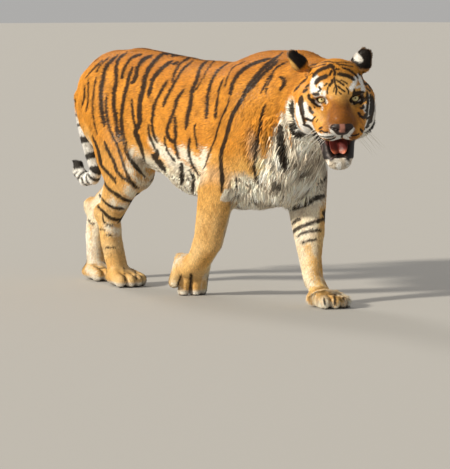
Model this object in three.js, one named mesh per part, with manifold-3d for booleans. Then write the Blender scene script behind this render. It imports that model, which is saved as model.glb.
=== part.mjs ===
// Tiger, walking, with its head turned to its right and its mouth open.
// Millimetres. X forward, Y to the animal's left, Z up, floor at Z = 0.
// The animal is modelled whole as a smooth field, out to the tips of the coat,
// and parted into regions of the body by thin flat cuts.
import * as THREE from 'three';
import Module from 'manifold-3d';

const wasm = await Module();
wasm.setup();

// Sizes.
const gap = 0.3; // between neighbouring regions
const spine = [
  // x, top, bottom, half width
  [-505, 786, 612, 66],
  [-450, 842, 545, 108],
  [-380, 873, 462, 148],
  [-270, 881, 442, 152],
  [-150, 866, 436, 160],
  [-30, 852, 408, 174],
  [100, 842, 352, 188],
  [240, 838, 326, 192],
  [350, 850, 334, 184],
  [430, 868, 392, 158],
];
const neckPath = [
  // x, y, z, half height, half width
  [400, 0, 690, 180, 140],
  [560, -8, 722, 162, 128],
  [700, -32, 728, 128, 116],
];
const tailPath = [
  // x, y, z, half thickness
  [-540, 0, 740, 52],
  [-610, 4, 690, 38],
  [-622, 8, 632, 31],
  [-613, 12, 571, 29],
  [-600, 16, 518, 28],
  [-584, 24, 465, 28],
  [-570, 32, 420, 28],
  [-592, 38, 385, 28],
  [-640, 40, 374, 28],
  [-676, 38, 400, 27],
  [-680, 34, 436, 22],
];
const eyeRadius = 19;
const eyeSpread = 55; // from the middle line to each eye's centre
const headPlace = new THREE.Vector3(894, -160, 724); // point between the eyes
const headTurn = -39; // degrees, to the right
const headTilt = 16; // degrees, nose down
const headRoll = 2; // degrees, right side down
const jawTurn = 30; // degrees the mouth is open
const pawLength = 168;
const pawWidth = 132;
const nets = {
  // size of the facets on each region
  trunk: 64,
  neck: 53,
  leg: 46,
  paw: 22,
  hangingPaw: 20,
  tail: 32,
  head: 33,
  face: 24,
  ear: 15,
  nose: 12,
  tongue: 13,
};

const colours = {
  orange: '#c67a33',
  pale: '#e6dccb',
  dark: '#231b17',
  rose: '#b5605c',
  amber: '#a87a2c',
};

// Fields. A field gives about the distance from a point to a surface, below zero inside.
const { abs, hypot, max, min, sqrt } = Math;
const rad = THREE.MathUtils.degToRad;

const radial = (x, y, z, k) => (k < 1e-6 ? -1e3 : hypot(x, y, z) * (1 - 1 / k));

function lump(centre, radii) {
  return (x, y, z) => {
    const [dx, dy, dz] = [x - centre[0], y - centre[1], z - centre[2]];
    return radial(dx, dy, dz, hypot(dx / radii[0], dy / radii[1], dz / radii[2]));
  };
}

// A rounded bar through stations [x, y, z, half depth, half width], the width along `side`.
function limb(stations, side = [0, 1, 0]) {
  const bars = stations.slice(1).map((end, i) => {
    const start = stations[i];
    const along = [0, 1, 2].map((k) => end[k] - start[k]);
    return { start, end, along, length2: along.reduce((sum, v) => sum + v * v, 0) };
  });
  return (x, y, z) => {
    let best = Infinity;
    for (const { start, end, along, length2 } of bars) {
      const from = [x - start[0], y - start[1], z - start[2]];
      const dot = from[0] * along[0] + from[1] * along[1] + from[2] * along[2];
      const t = min(1, max(0, dot / length2));
      const q = from.map((v, k) => v - along[k] * t);
      const depth = start[3] + (end[3] - start[3]) * t;
      const width = start[4] + (end[4] - start[4]) * t;
      const across = q[0] * side[0] + q[1] * side[1] + q[2] * side[2];
      const rest = sqrt(max(0, q[0] ** 2 + q[1] ** 2 + q[2] ** 2 - across ** 2));
      best = min(best, radial(...q, hypot(across / width, rest / depth)));
    }
    return best;
  };
}

function join(a, b, k) {
  const h = max(k - abs(a - b), 0) / k;
  return min(a, b) - (h * h * k) / 4;
}

const blend = (k, ...fields) => (x, y, z) =>
  fields.reduce((sum, field) => join(sum, field(x, y, z), k), 1e3);
const carve = (k, body, hole) => (x, y, z) => -join(-body(x, y, z), hole(x, y, z), k);
const placed = (field, matrix) => {
  const e = matrix.clone().invert().elements;
  return (x, y, z) =>
    field(
      e[0] * x + e[4] * y + e[8] * z + e[12],
      e[1] * x + e[5] * y + e[9] * z + e[13],
      e[2] * x + e[6] * y + e[10] * z + e[14],
    );
};

function pose(position, yaw = 0, pitch = 0, roll = 0) {
  const turn = new THREE.Euler(rad(roll), rad(pitch), rad(yaw), 'ZYX');
  const matrix = new THREE.Matrix4().makeRotationFromEuler(turn);
  return matrix.setPosition(...position);
}

// Trunk, neck and tail.
const trunkStations = spine.map(([x, top, bottom, width]) => {
  return [x, 0, (top + bottom) / 2, (top - bottom) / 2, width];
});
const trunk = blend(
  45,
  limb(trunkStations),
  limb(neckPath),
  lump([-380, 74, 682], [98, 76, 140]), // haunches
  lump([-380, -74, 682], [98, 76, 140]),
  lump([395, 92, 640], [115, 78, 175]), // shoulder blades
  lump([385, -92, 640], [115, 78, 175]),
  lump([488, 0, 492], [98, 104, 128]), // breast
);
const tail = limb(tailPath.map(([x, y, z, r]) => [x, y, z, r, r]));

// Legs. Stations [x, y, z, half depth, half width]; the paws are built flat on the floor.
const legs = {
  foreRight: [
    [430, -104, 570, 96, 66],
    [300, -124, 455, 86, 58],
    [264, -122, 385, 79, 56],
    [228, -108, 290, 70, 51],
    [196, -96, 215, 64, 47],
    [150, -88, 150, 46, 50],
    [104, -82, 98, 38, 56],
  ],
  foreLeft: [
    [468, 108, 560, 98, 68],
    [466, 124, 430, 85, 60],
    [478, 110, 340, 82, 56],
    [500, 98, 250, 68, 48],
    [524, 82, 160, 48, 38],
    [562, 60, 84, 37, 36],
    [600, 48, 54, 34, 42],
  ],
  hindRight: [
    [-366, -92, 640, 92, 66],
    [-284, -112, 500, 102, 62],
    [-238, -118, 420, 92, 56],
    [-300, -96, 340, 68, 50],
    [-378, -68, 255, 52, 42],
    [-376, -60, 170, 46, 42],
    [-352, -52, 70, 38, 42],
  ],
  hindLeft: [
    [-410, 92, 640, 108, 68],
    [-396, 100, 500, 104, 62],
    [-398, 88, 420, 84, 56],
    [-478, 66, 340, 62, 50],
    [-566, 42, 262, 52, 42],
    [-574, 34, 170, 46, 42],
    [-566, 30, 70, 38, 42],
  ],
};

// A paw set flat on the floor: the pad and four toes, pointing along X from its origin.
function paw() {
  const half = pawWidth / 2;
  const toes = [-0.72, -0.25, 0.25, 0.72].map((share) => {
    const reach = pawLength * (0.47 - 0.24 * share * share);
    return limb([
      [-pawLength * 0.1, half * share * 0.8, 38, 26, 20],
      [reach - 26, half * share, 24, 26, 20],
    ]);
  });
  return blend(9, lump([-pawLength * 0.17, 0, 32], [pawLength * 0.38, half * 0.88, 36]), ...toes);
}

const pawPlaces = {
  foreLeft: pose([660, 34, 0], -4),
  hindRight: pose([-312, -46, 0], -4),
  hindLeft: pose([-530, 24, 0], -2),
};
// The right forepaw is about to leave the floor: it hangs from the wrist on the tips of its toes.
const toesRight = [
  [74, -24, 19],
  [76, -56, 16],
  [50, -90, 16],
  [40, -124, 50],
];
const hangingPaw = blend(
  9,
  lump([84, -92, 112], [42, 52, 44]),
  ...toesRight.map(([x, y, z], i) =>
    limb([
      [x + 42 - 6 * i, y * 0.6 - 36, z + 84, 26, 24],
      [x + 4, y, z, 24, 20],
    ]),
  ),
);
const heel = (place) => lump(place, [34, 30, 40]);
const pawOf = (leg) => placed(paw(), pawPlaces[leg]);
const legFields = {
  foreRight: blend(22, limb(legs.foreRight), hangingPaw),
  foreLeft: blend(22, limb(legs.foreLeft), pawOf('foreLeft')),
  hindRight: blend(22, limb(legs.hindRight), heel([-420, -70, 268]), pawOf('hindRight')),
  hindLeft: blend(22, limb(legs.hindLeft), heel([-612, 42, 275]), pawOf('hindLeft')),
};

// Head, built about the point between the eyes: X out of the face, Y to its left, Z up.
const headMatrix = pose(headPlace, headTurn, headTilt, headRoll);
const pair = (centre, radii) => [lump(centre, radii), lump([centre[0], -centre[1], centre[2]], radii)];
const skull = blend(
  26,
  lump([-92, 0, 26], [98, 98, 86]), // braincase
  ...pair([-22, 41, 16], [44, 40, 34]), // brows
  limb([
    [-10, 0, 12, 40, 42],
    [84, 0, -44, 34, 36],
  ]), // bridge of the nose
  ...pair([66, 34, -82], [46, 43, 36]), // muzzle pads
  ...pair([8, 50, -58], [66, 42, 52]), // sides of the muzzle
  lump([-50, 80, -50], [78, 54, 84]), // cheeks, the right one fuller
  lump([-50, -90, -50], [78, 54, 84]),
  lump([-112, 86, -72], [62, 58, 100]), // ruff
  lump([-112, -104, -76], [62, 58, 100]),
  lump([-120, 0, -120], [95, 92, 100]), // throat
);
const sockets = blend(1, ...pair([26, 59, 0], [26, 26, 17]));
const mouth = blend(12, lump([52, 0, -134], [86, 46, 26]), lump([-20, 0, -146], [50, 46, 24]));
const headField = carve(10, carve(8, skull, sockets), mouth);
const jawHinge = [-62, 0, -76];
const jawMatrix = new THREE.Matrix4()
  .makeTranslation(...jawHinge)
  .multiply(new THREE.Matrix4().makeRotationY(rad(jawTurn)))
  .multiply(new THREE.Matrix4().makeTranslation(...jawHinge.map((v) => -v)));
const jawClosed = carve(
  8,
  blend(
    20,
    limb([
      [-60, 0, -136, 40, 68],
      [60, 0, -142, 29, 51],
      [88, 0, -140, 26, 40],
    ]),
  ),
  lump([30, 0, -106], [80, 36, 24]),
);
const jawField = placed(jawClosed, jawMatrix);
const tongueField = placed(lump([26, 0, -118], [50, 27, 10]), jawMatrix);
const noseField = blend(10, lump([105, 0, -60], [17, 35, 14]), lump([107, 0, -72], [13, 20, 14]));

// An ear is a cup on the back corner of the head, its opening turned back and outward.
// The left ear stands up and the right one is laid out to the side.
function earCup(width) {
  const shell = blend(8, lump([0, 0, -10], [25, width, 38]), lump([0, 0, 6], [22, width * 0.8, 48]));
  return carve(6, shell, lump([24, 0, 8], [27, width * 0.66, 37]));
}
const earLeft = placed(earCup(38), pose([-118, 92, 90], 152, 0, 24));
const earRight = placed(earCup(29), pose([-118, -121, 97], -160, 0, -38));
const ears = (x, y, z) => min(earLeft(x, y, z), earRight(x, y, z));

const worldHead = placed(blend(14, headField, jawField, ears), headMatrix);
const body = (x, y, z) => {
  let d = trunk(x, y, z);
  for (const leg of Object.values(legFields)) d = join(d, leg(x, y, z), 36);
  d = join(d, tail(x, y, z), 30);
  return join(d, worldHead(x, y, z), 40);
};

// Surface. A cell's corners, its twelve edges, and the edges that each of its six sides holds.
const corners = [0, 1, 2, 3, 4, 5, 6, 7].map((n) => [n & 1, (n >> 1) & 1, n >> 2]);
const edges = [];
for (let m = 0; m < 8; m++) {
  for (const step of [1, 2, 4]) if (!(m & step)) edges.push([m, m + step]);
}
const edgeNumber = new Map(edges.map(([m, n], e) => [m * 8 + n, e]));
const edgesWhere = (bit, set) => [...edges.keys()].filter((e) => edges[e].every((c) => (c & bit) === set));
const sides = [1, 2, 4].flatMap((bit) => [edgesWhere(bit, 0), edgesWhere(bit, bit)]);

// Groups the edges that the surface crosses in one cell by the sheet that crosses them.
function sheetsOf(at) {
  const crossed = (e) => at[edges[e][0]] < 0 !== at[edges[e][1]] < 0;
  const sheet = edges.map((_, e) => e);
  const link = (a, b) => {
    const [from, to] = [sheet[a], sheet[b]];
    sheet.forEach((v, e) => (sheet[e] = v === from ? to : v));
  };
  for (const side of sides) {
    const cut = side.filter(crossed);
    if (cut.length === 2) link(...cut);
    if (cut.length < 4) continue;
    for (let c = 0; c < 8; c++) {
      const own = cut.filter((e) => at[c] < 0 && edges[e].includes(c));
      if (own.length === 2) link(...own);
    }
  }
  const groups = new Map();
  edges.forEach((_, e) => {
    if (crossed(e)) groups.set(sheet[e], [...(groups.get(sheet[e]) ?? []), e]);
  });
  return groups.values();
}

// Lays an even net of quads over the surface of a field inside a box, and closes it at the box.
function netOver(field, low, high, cell) {
  const boxed = (x, y, z) =>
    max(field(x, y, z), low[0] - x, x - high[0], low[1] - y, y - high[1], low[2] - z, z - high[2]);
  const start = low.map((v) => v - cell * 0.6);
  const count = high.map((v, k) => Math.ceil((v - start[k]) / cell + 0.6) + 1);
  const index = (i, j, k) => (k * count[1] + j) * count[0] + i;
  const value = new Float64Array(count[0] * count[1] * count[2]);
  for (let k = 0; k < count[2]; k++) {
    for (let j = 0; j < count[1]; j++) {
      for (let i = 0; i < count[0]; i++) {
        value[index(i, j, k)] = boxed(start[0] + i * cell, start[1] + j * cell, start[2] + k * cell);
      }
    }
  }
  const vertices = [];
  const vertexOf = new Int32Array(value.length * 12).fill(-1);
  for (let k = 0; k < count[2] - 1; k++) {
    for (let j = 0; j < count[1] - 1; j++) {
      for (let i = 0; i < count[0] - 1; i++) {
        const cellPlace = [i, j, k];
        const at = corners.map((c) => value[index(i + c[0], j + c[1], k + c[2])]);
        for (const sheet of sheetsOf(at)) {
          const sum = [0, 0, 0];
          for (const e of sheet) {
            const [m, n] = edges[e];
            const t = at[m] / (at[m] - at[n]);
            sum.forEach((_, c) => {
              sum[c] += (corners[m][c] + (corners[n][c] - corners[m][c]) * t) / sheet.length;
            });
            vertexOf[index(i, j, k) * 12 + e] = vertices.length / 3;
          }
          const p = sum.map((v, c) => start[c] + (cellPlace[c] + v) * cell);
          vertices.push(...settle(boxed, p, cell * 0.4));
        }
      }
    }
  }
  const triangles = [];
  const quad = (a, b, c, d, flip) => {
    const far = (m, n) => hypot(...[0, 1, 2].map((q) => vertices[m * 3 + q] - vertices[n * 3 + q]));
    const [p, q, r, s] = flip ? [a, d, c, b] : [a, b, c, d];
    if (far(p, r) < far(q, s)) triangles.push(p, q, r, p, r, s);
    else triangles.push(p, q, s, q, r, s);
  };
  for (let k = 0; k < count[2] - 1; k++) {
    for (let j = 0; j < count[1] - 1; j++) {
      for (let i = 0; i < count[0] - 1; i++) {
        const here = value[index(i, j, k)] < 0;
        const at = (a, b, c, step) => {
          const m = a + 2 * b + 4 * c;
          return vertexOf[index(i - a, j - b, k - c) * 12 + edgeNumber.get(m * 8 + m + step)];
        };
        if (here !== value[index(i + 1, j, k)] < 0) {
          quad(at(0, 0, 0, 1), at(0, 1, 0, 1), at(0, 1, 1, 1), at(0, 0, 1, 1), !here);
        }
        if (here !== value[index(i, j + 1, k)] < 0) {
          quad(at(0, 0, 0, 2), at(0, 0, 1, 2), at(1, 0, 1, 2), at(1, 0, 0, 2), !here);
        }
        if (here !== value[index(i, j, k + 1)] < 0) {
          quad(at(0, 0, 0, 4), at(1, 0, 0, 4), at(1, 1, 0, 4), at(0, 1, 0, 4), !here);
        }
      }
    }
  }
  return solid(new Float32Array(vertices), new Uint32Array(triangles));
}

// Moves a point onto the surface of a field along its slope, by no more than `reach`.
function settle(field, point, reach) {
  let p = point;
  for (let step = 0; step < 3; step++) {
    const d = field(...p);
    const slope = [0, 1, 2].map((c) => {
      const ahead = p.map((v, q) => (q === c ? v + 1 : v));
      const behind = p.map((v, q) => (q === c ? v - 1 : v));
      return (field(...ahead) - field(...behind)) / 2;
    });
    const size2 = max(slope[0] ** 2 + slope[1] ** 2 + slope[2] ** 2, 0.2);
    p = p.map((v, c) => v - (slope[c] * d) / size2);
  }
  return p.map((v, c) => min(point[c] + reach, max(point[c] - reach, v)));
}

function solid(vertProperties, triVerts) {
  return new wasm.Manifold(new wasm.Mesh({ numProp: 3, vertProperties, triVerts }));
}

// A three.js geometry as a solid, with the vertices that share a place made one.
function solidOf(geometry, matrix = new THREE.Matrix4()) {
  const place = geometry.clone().applyMatrix4(matrix).getAttribute('position');
  const known = new Map();
  const order = [];
  const vertices = [];
  for (let i = 0; i < place.count; i++) {
    const p = [place.getX(i), place.getY(i), place.getZ(i)];
    const key = p.map((v) => Math.round(v * 1e3)).join();
    if (!known.has(key)) {
      known.set(key, vertices.length / 3);
      vertices.push(...p);
    }
    order.push(known.get(key));
  }
  const source = geometry.index ? [...geometry.index.array] : order.map((_, i) => i);
  const triangles = [];
  for (let i = 0; i < source.length; i += 3) {
    const [a, b, c] = [order[source[i]], order[source[i + 1]], order[source[i + 2]]];
    if (a !== b && b !== c && c !== a) triangles.push(a, b, c);
  }
  return solid(new Float32Array(vertices), new Uint32Array(triangles));
}

// Keeps what lies ahead of a plane through `point`, facing `normal`, less half a gap.
function ahead(piece, point, normal) {
  const n = new THREE.Vector3(...normal).normalize();
  return piece.trimByPlane([n.x, n.y, n.z], n.dot(new THREE.Vector3(...point)) + gap / 2);
}

const behind = (piece, point, normal) => ahead(piece, point, normal.map((v) => -v));
const above = (piece, z) => ahead(piece, [0, 0, z], [0, 0, 1]);
const below = (piece, z) => ahead(piece, [0, 0, z], [0, 0, -1]);

// The largest closed body of a piece.
function whole(piece) {
  return piece.decompose().sort((a, b) => b.volume() - a.volume())[0];
}

function boxSolid([low, high], grow = 0) {
  const size = low.map((v, k) => high[k] - v + 2 * grow);
  const middle = low.map((v, k) => (v + high[k]) / 2);
  return solidOf(new THREE.BoxGeometry(...size), new THREE.Matrix4().makeTranslation(...middle));
}

// Nodes.
const tiger = new THREE.Group();
tiger.name = 'tiger';

function addPiece(name, piece, colour, roughness = 0.95) {
  const mesh = whole(piece).getMesh();
  const geometry = new THREE.BufferGeometry();
  geometry.setAttribute('position', new THREE.BufferAttribute(new Float32Array(mesh.vertProperties), 3));
  geometry.setIndex(new THREE.BufferAttribute(new Uint32Array(mesh.triVerts), 1));
  geometry.computeVertexNormals();
  const material = new THREE.MeshStandardMaterial({ color: colours[colour], roughness, metalness: 0 });
  const node = new THREE.Mesh(geometry, material);
  node.name = name;
  tiger.add(node);
  return node;
}

// The rooms of the legs below the trunk: a box for the upper leg and a wider one for the foot.
const legBoxes = {
  foreRight: [[[130, -260, 230], [430, -58, 470]], [[-60, -220, -40], [330, 60, 250]]],
  foreLeft: [[[330, 46, 270], [640, 260, 470]], [[400, -120, -40], [840, 220, 300]]],
  hindRight: [[[-480, -260, 230], [-110, -4, 500]], [[-460, -220, -40], [-180, 100, 250]]],
  hindLeft: [[[-660, 4, 230], [-270, 260, 500]], [[-760, -120, -40], [-470, 200, 250]]],
};
const legCuts = {
  foreRight: { joint: [[250, -110, 330], [0.2, 0, 1]], foot: [[170, -90, 172], [0.6, 0, 1]] },
  foreLeft: { joint: [[480, 110, 330], [-0.2, 0, 1]], foot: [[560, 60, 88], [-0.3, 0, 1]] },
  hindRight: { joint: [[-270, -110, 350], [0.5, 0, 1]], foot: [[-360, -55, 92], [-0.15, 0, 1]] },
  hindLeft: { joint: [[-390, 90, 350], [0.5, 0, 1]], foot: [[-595, 35, 92], [-0.1, 0, 1]] },
};
const legNames = {
  foreRight: ['foreleg_right_upper', 'foreleg_right_forearm', 'foreleg_right_paw'],
  foreLeft: ['foreleg_left_upper', 'foreleg_left_forearm', 'foreleg_left_paw'],
  hindRight: ['hindleg_right_thigh', 'hindleg_right_shank', 'hindleg_right_paw'],
  hindLeft: ['hindleg_left_thigh', 'hindleg_left_shank', 'hindleg_left_paw'],
};
const legRoom = (leg, grow) => boxSolid(legBoxes[leg][0], grow).add(boxSolid(legBoxes[leg][1], grow));
const lowest = (a, b) => a.map((v, k) => min(v, b[k]));
const highest = (a, b) => a.map((v, k) => max(v, b[k]));
for (const [leg, [upper, lower]] of Object.entries(legBoxes)) {
  const { joint, foot } = legCuts[leg];
  const [upperName, lowerName, pawName] = legNames[leg];
  const room = legRoom(leg, -gap / 2);
  const low = lowest(upper[0], lower[0]).map((v) => v - 24);
  const high = highest(upper[1], lower[1]).map((v) => v + 24);
  const footHigh = [high[0], high[1], foot[0][2] + 70];
  const coarse = netOver(body, low, high, nets.leg).intersect(room);
  const fineNet = leg === 'foreRight' ? nets.hangingPaw : nets.paw;
  const fine = netOver(body, low, footHigh, fineNet).intersect(room);
  addPiece(upperName, ahead(coarse, ...joint), 'orange');
  addPiece(lowerName, ahead(behind(coarse, ...joint), ...foot), leg.endsWith('Left') ? 'pale' : 'orange');
  addPiece(pawName, above(behind(fine, ...foot), 0), 'orange');
}

// A solid with every point moved by a matrix.
function moved(piece, matrix) {
  const mesh = piece.getMesh();
  const geometry = new THREE.BufferGeometry();
  geometry.setAttribute('position', new THREE.BufferAttribute(new Float32Array(mesh.vertProperties), 3));
  geometry.setIndex(new THREE.BufferAttribute(new Uint32Array(mesh.triVerts), 1));
  return solidOf(geometry, matrix);
}

// A solid made larger about a point inside it, to cut room for the piece itself.
function grown(piece, centre, factor) {
  const back = new THREE.Matrix4().makeTranslation(...centre.map((v) => -v));
  const grow = new THREE.Matrix4().makeScale(factor, factor, factor);
  return moved(piece, new THREE.Matrix4().makeTranslation(...centre).multiply(grow).multiply(back));
}

const toWorld = (piece) => moved(piece, headMatrix);

// The room an ear stands in, in the head's frame.
function earRoom(side, grow) {
  const room = new THREE.BoxGeometry(130 + 2 * grow, 120 + 2 * grow, 130 + 2 * grow);
  const place = side > 0 ? pose([-118, 84, 78], 0, 0, -30) : pose([-118, -92, 74], 0, 0, 45);
  return solidOf(room, place.multiply(new THREE.Matrix4().makeTranslation(0, 0, 65)));
}

// Trunk and neck, less the legs' boxes.
const stops = [-310, 40];
const neckCut = [[475, 0, 700], [0.9, -0.05, 0.44]];
const headCut = [[-118, 0, 0], [1, 0, -0.25]];
const headPoint = (p) => new THREE.Vector3(...p).applyMatrix4(headMatrix).toArray();
const headNormal = (n) => new THREE.Vector3(...n).transformDirection(headMatrix).toArray();
const napeCut = [headPoint(headCut[0]), headNormal(headCut[1])];
const tailCut = [[-578, 0, 660], [-0.96, 0, -0.28]];
let torso = netOver(body, [-640, -270, 240], [700, 270, 920], nets.trunk);
for (const leg of Object.keys(legBoxes)) torso = torso.subtract(legRoom(leg, gap / 2));
torso = behind(behind(torso, ...neckCut), ...tailCut);
addPiece('hindquarters', behind(torso, [stops[0], 0, 0], [1, 0, 0]), 'orange');
addPiece('loins', ahead(behind(torso, [stops[1], 0, 0], [1, 0, 0]), [stops[0], 0, 0], [1, 0, 0]), 'orange');
addPiece('chest', ahead(torso, [stops[1], 0, 0], [1, 0, 0]), 'orange');
const neck = netOver(body, [360, -230, 420], [860, 240, 940], nets.neck);
let nape = behind(ahead(neck.subtract(legRoom('foreLeft', gap / 2)), ...neckCut), ...napeCut);
for (const side of [1, -1]) nape = nape.subtract(toWorld(earRoom(side, gap / 2)));
addPiece('neck', nape, 'orange');

// Tail in three lengths.
const tailNet = netOver(body, [-760, -60, 330], [-520, 110, 760], nets.tail);
const tailFree = ahead(tailNet, ...tailCut);
addPiece('tail_root', above(tailFree, 560), 'orange');
addPiece('tail_middle', ahead(below(tailFree, 560), [-582, 0, 400], [0.35, 0, 1]), 'pale');
addPiece('tail_tip', behind(below(tailFree, 560), [-582, 0, 400], [0.35, 0, 1]), 'dark');

// Head, in its own frame.
const worldBody = (x, y, z) => {
  const p = new THREE.Vector3(x, y, z).applyMatrix4(headMatrix);
  return body(p.x, p.y, p.z);
};
const eyePlaces = [eyeSpread, -eyeSpread].map((y) => [-14, y, 0]);
const sphereAt = (place, radius) => solidOf(new THREE.SphereGeometry(radius, 12, 7), pose(place));
const faceCut = [[-46, 0, 0], [1, 0, 0]];
const jawPlane = [[20, 0, -146], [0.5, 0, 1]];
const headNet = netOver(worldBody, [-190, -190, -300], [-10, 190, 130], nets.head);
let backHead = behind(ahead(headNet, ...headCut), ...faceCut);
let face = ahead(netOver(worldBody, [-80, -190, -300], [150, 190, 130], nets.face), ...faceCut);
for (const side of [1, -1]) {
  const [low, high] = side > 0 ? [10, 200] : [-200, -10];
  const ear = netOver(worldBody, [-195, low, 30], [-30, high, 190], nets.ear);
  addPiece(side > 0 ? 'ear_left' : 'ear_right', toWorld(ear.intersect(earRoom(side, -gap / 2))), 'dark');
  backHead = backHead.subtract(earRoom(side, gap / 2));
}
eyePlaces.forEach((place, i) => {
  const opening = new THREE.CylinderGeometry(13, 13, 60, 12);
  const forward = pose([place[0] + 30, place[1], place[2]], -90, 0, 0);
  face = face.subtract(sphereAt(place, eyeRadius + 0.6)).subtract(solidOf(opening, forward));
  addPiece(i ? 'eye_right' : 'eye_left', toWorld(sphereAt(place, eyeRadius)), 'amber', 0.15);
});
const noseCentre = [106, 0, -63];
const tongueCentre = new THREE.Vector3(26, 0, -118).applyMatrix4(jawMatrix).toArray();
const nose = netOver(noseField, [80, -50, -100], [140, 50, -30], nets.nose);
const tongue = netOver(tongueField, [-60, -50, -230], [130, 50, -90], nets.tongue);
addPiece('head', toWorld(backHead), 'orange');
const upperFace = ahead(face, ...jawPlane).subtract(grown(nose, noseCentre, 1.035));
addPiece('face', toWorld(upperFace), 'orange');
addPiece('nose', toWorld(nose), 'rose', 0.5);
const jaw = behind(face, ...jawPlane).subtract(grown(tongue, tongueCentre, 1.035));
addPiece('lower_jaw', toWorld(jaw), 'pale');
addPiece('tongue', toWorld(tongue), 'rose', 0.5);

// The origin is on the floor under the middle of the animal.
const bounds = new THREE.Box3().setFromObject(tiger);
const middle = bounds.getCenter(new THREE.Vector3());
tiger.position.set(-middle.x, -middle.y, -bounds.min.z);

export default tiger;
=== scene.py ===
from math import atan2, cos, pi, radians, sin

import bmesh
import bpy
import numpy as np
from mathutils import Euler, Matrix, Vector
from mathutils.bvhtree import BVHTree
from mathutils.kdtree import KDTree


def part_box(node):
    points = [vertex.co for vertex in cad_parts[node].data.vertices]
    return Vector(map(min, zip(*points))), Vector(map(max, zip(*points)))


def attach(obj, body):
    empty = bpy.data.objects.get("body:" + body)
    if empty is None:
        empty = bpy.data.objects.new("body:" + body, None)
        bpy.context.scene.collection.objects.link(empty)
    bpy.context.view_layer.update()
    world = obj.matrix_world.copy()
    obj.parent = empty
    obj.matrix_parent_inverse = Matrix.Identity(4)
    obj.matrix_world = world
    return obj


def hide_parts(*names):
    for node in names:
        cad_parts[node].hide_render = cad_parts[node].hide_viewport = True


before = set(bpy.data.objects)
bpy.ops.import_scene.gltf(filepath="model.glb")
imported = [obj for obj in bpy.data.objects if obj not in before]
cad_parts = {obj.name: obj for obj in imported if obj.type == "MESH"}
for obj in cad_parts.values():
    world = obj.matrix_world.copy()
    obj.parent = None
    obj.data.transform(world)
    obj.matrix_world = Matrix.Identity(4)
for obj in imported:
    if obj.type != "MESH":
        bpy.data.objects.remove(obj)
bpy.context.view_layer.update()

dice = np.random.default_rng(7)  # every random draw comes from here

# The body's own shape, as smooth fields in millimetres: x forward, y to the animal's left, z up.
# A field is about the distance to the surface, below zero inside.
body = {
    "spine": [  # x, top, bottom, half width
        (-505, 786, 612, 66), (-450, 842, 545, 108), (-380, 873, 462, 148), (-270, 881, 442, 152),
        (-150, 866, 436, 160), (-30, 852, 408, 174), (100, 842, 352, 188), (240, 838, 326, 192),
        (350, 850, 334, 184), (430, 868, 392, 158)],
    "neck": [(400, 0, 690, 180, 140), (560, -8, 722, 162, 128), (700, -32, 728, 128, 116)],
    "tail": [(-540, 0, 740, 52), (-610, 4, 690, 38), (-622, 8, 632, 31), (-613, 12, 571, 29),
             (-600, 16, 518, 28), (-584, 24, 465, 28), (-570, 32, 420, 28), (-592, 38, 385, 28),
             (-640, 40, 374, 28), (-676, 38, 400, 27), (-680, 34, 436, 22)],
    "haunch": ((-380, 74, 682), (98, 76, 140)),
    "shoulderLeft": ((395, 92, 640), (115, 78, 175)),
    "shoulderRight": ((385, -92, 640), (115, 78, 175)),
    "breast": ((488, 0, 492), (98, 104, 128)),
}
legs = {  # x, y, z, half depth, half width
    "foreRight": [(430, -104, 570, 96, 66), (300, -124, 455, 86, 58), (264, -122, 385, 79, 56),
                  (228, -108, 290, 70, 51), (196, -96, 215, 64, 47), (150, -88, 150, 46, 50),
                  (104, -82, 98, 38, 56)],
    "foreLeft": [(468, 108, 560, 98, 68), (466, 124, 430, 85, 60), (478, 110, 340, 82, 56),
                 (500, 98, 250, 68, 48), (524, 82, 160, 48, 38), (562, 60, 84, 37, 36),
                 (600, 48, 54, 34, 42)],
    "hindRight": [(-366, -92, 640, 92, 66), (-284, -112, 500, 102, 62), (-238, -118, 420, 92, 56),
                  (-300, -96, 340, 68, 50), (-378, -68, 255, 52, 42), (-376, -60, 170, 46, 42),
                  (-352, -52, 70, 38, 42)],
    "hindLeft": [(-410, 92, 640, 108, 68), (-396, 100, 500, 104, 62), (-398, 88, 420, 84, 56),
                 (-478, 66, 340, 62, 50), (-566, 42, 262, 52, 42), (-574, 34, 170, 46, 42),
                 (-566, 30, 70, 38, 42)],
}
paws = {
    "length": 168, "width": 132,
    "foreLeft": (660, 34, -4), "hindRight": (-312, -46, -4), "hindLeft": (-530, 24, -2),  # x, y, turn
    "toes": (-0.72, -0.25, 0.25, 0.72),  # places across half the width
    "toeReach": 0.47, "toeArc": 0.24, "knuckleBack": -0.1, "knuckleGather": 0.8,  # shares of length and width
    "knuckleHeight": 38, "toeHeight": 24, "toeRadii": (26, 20),
    "pad": (-0.17, 0.38, 0.88), "padHeight": 32, "padDepth": 36,  # its place, length and width as shares
}
hangingPaw = {  # the right forepaw, whose toes alone touch the floor
    "toes": [(74, -24, 19), (76, -56, 16), (50, -90, 16), (40, -124, 50)],
    "pad": ((84, -92, 112), (42, 52, 44)),
    "knuckleAhead": 42, "knuckleStep": 6, "knuckleOver": 84, "gather": 0.6, "gatherBy": 36,
    "knuckleRadii": (26, 24), "tipAhead": 4, "tipRadii": (24, 20),
}
heels = {"hindRight": (-420, -70, 268), "hindLeft": (-612, 42, 275), "radii": (34, 30, 40)}
rounding = {  # millimetres over which shapes run into each other
    "toes": 9, "leg": 22, "trunk": 45, "legToTrunk": 36, "tailToTrunk": 30, "headToTrunk": 40, "skull": 26,
    "socket": 8, "mouth": 12, "mouthEdge": 10, "eye": 6, "slit": 3, "nose": 10, "noseToSkull": 5,
    "nostrils": 3, "nostrilEdge": 2, "philtrum": 3, "jaw": 14, "jawHollow": 8, "ear": 8, "earCup": 6,
}
lids = {  # the opening between the lids, millimetres and degrees
    "reach": 17.5, "height": 6.6, "turn": 20, "drop": 1,
    "inner": 14.5,  # how far from the eye's centre the skin lies behind the eyeball
    "within": 30, "front": 2, "corner": 3, "far": 99,
}
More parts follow.
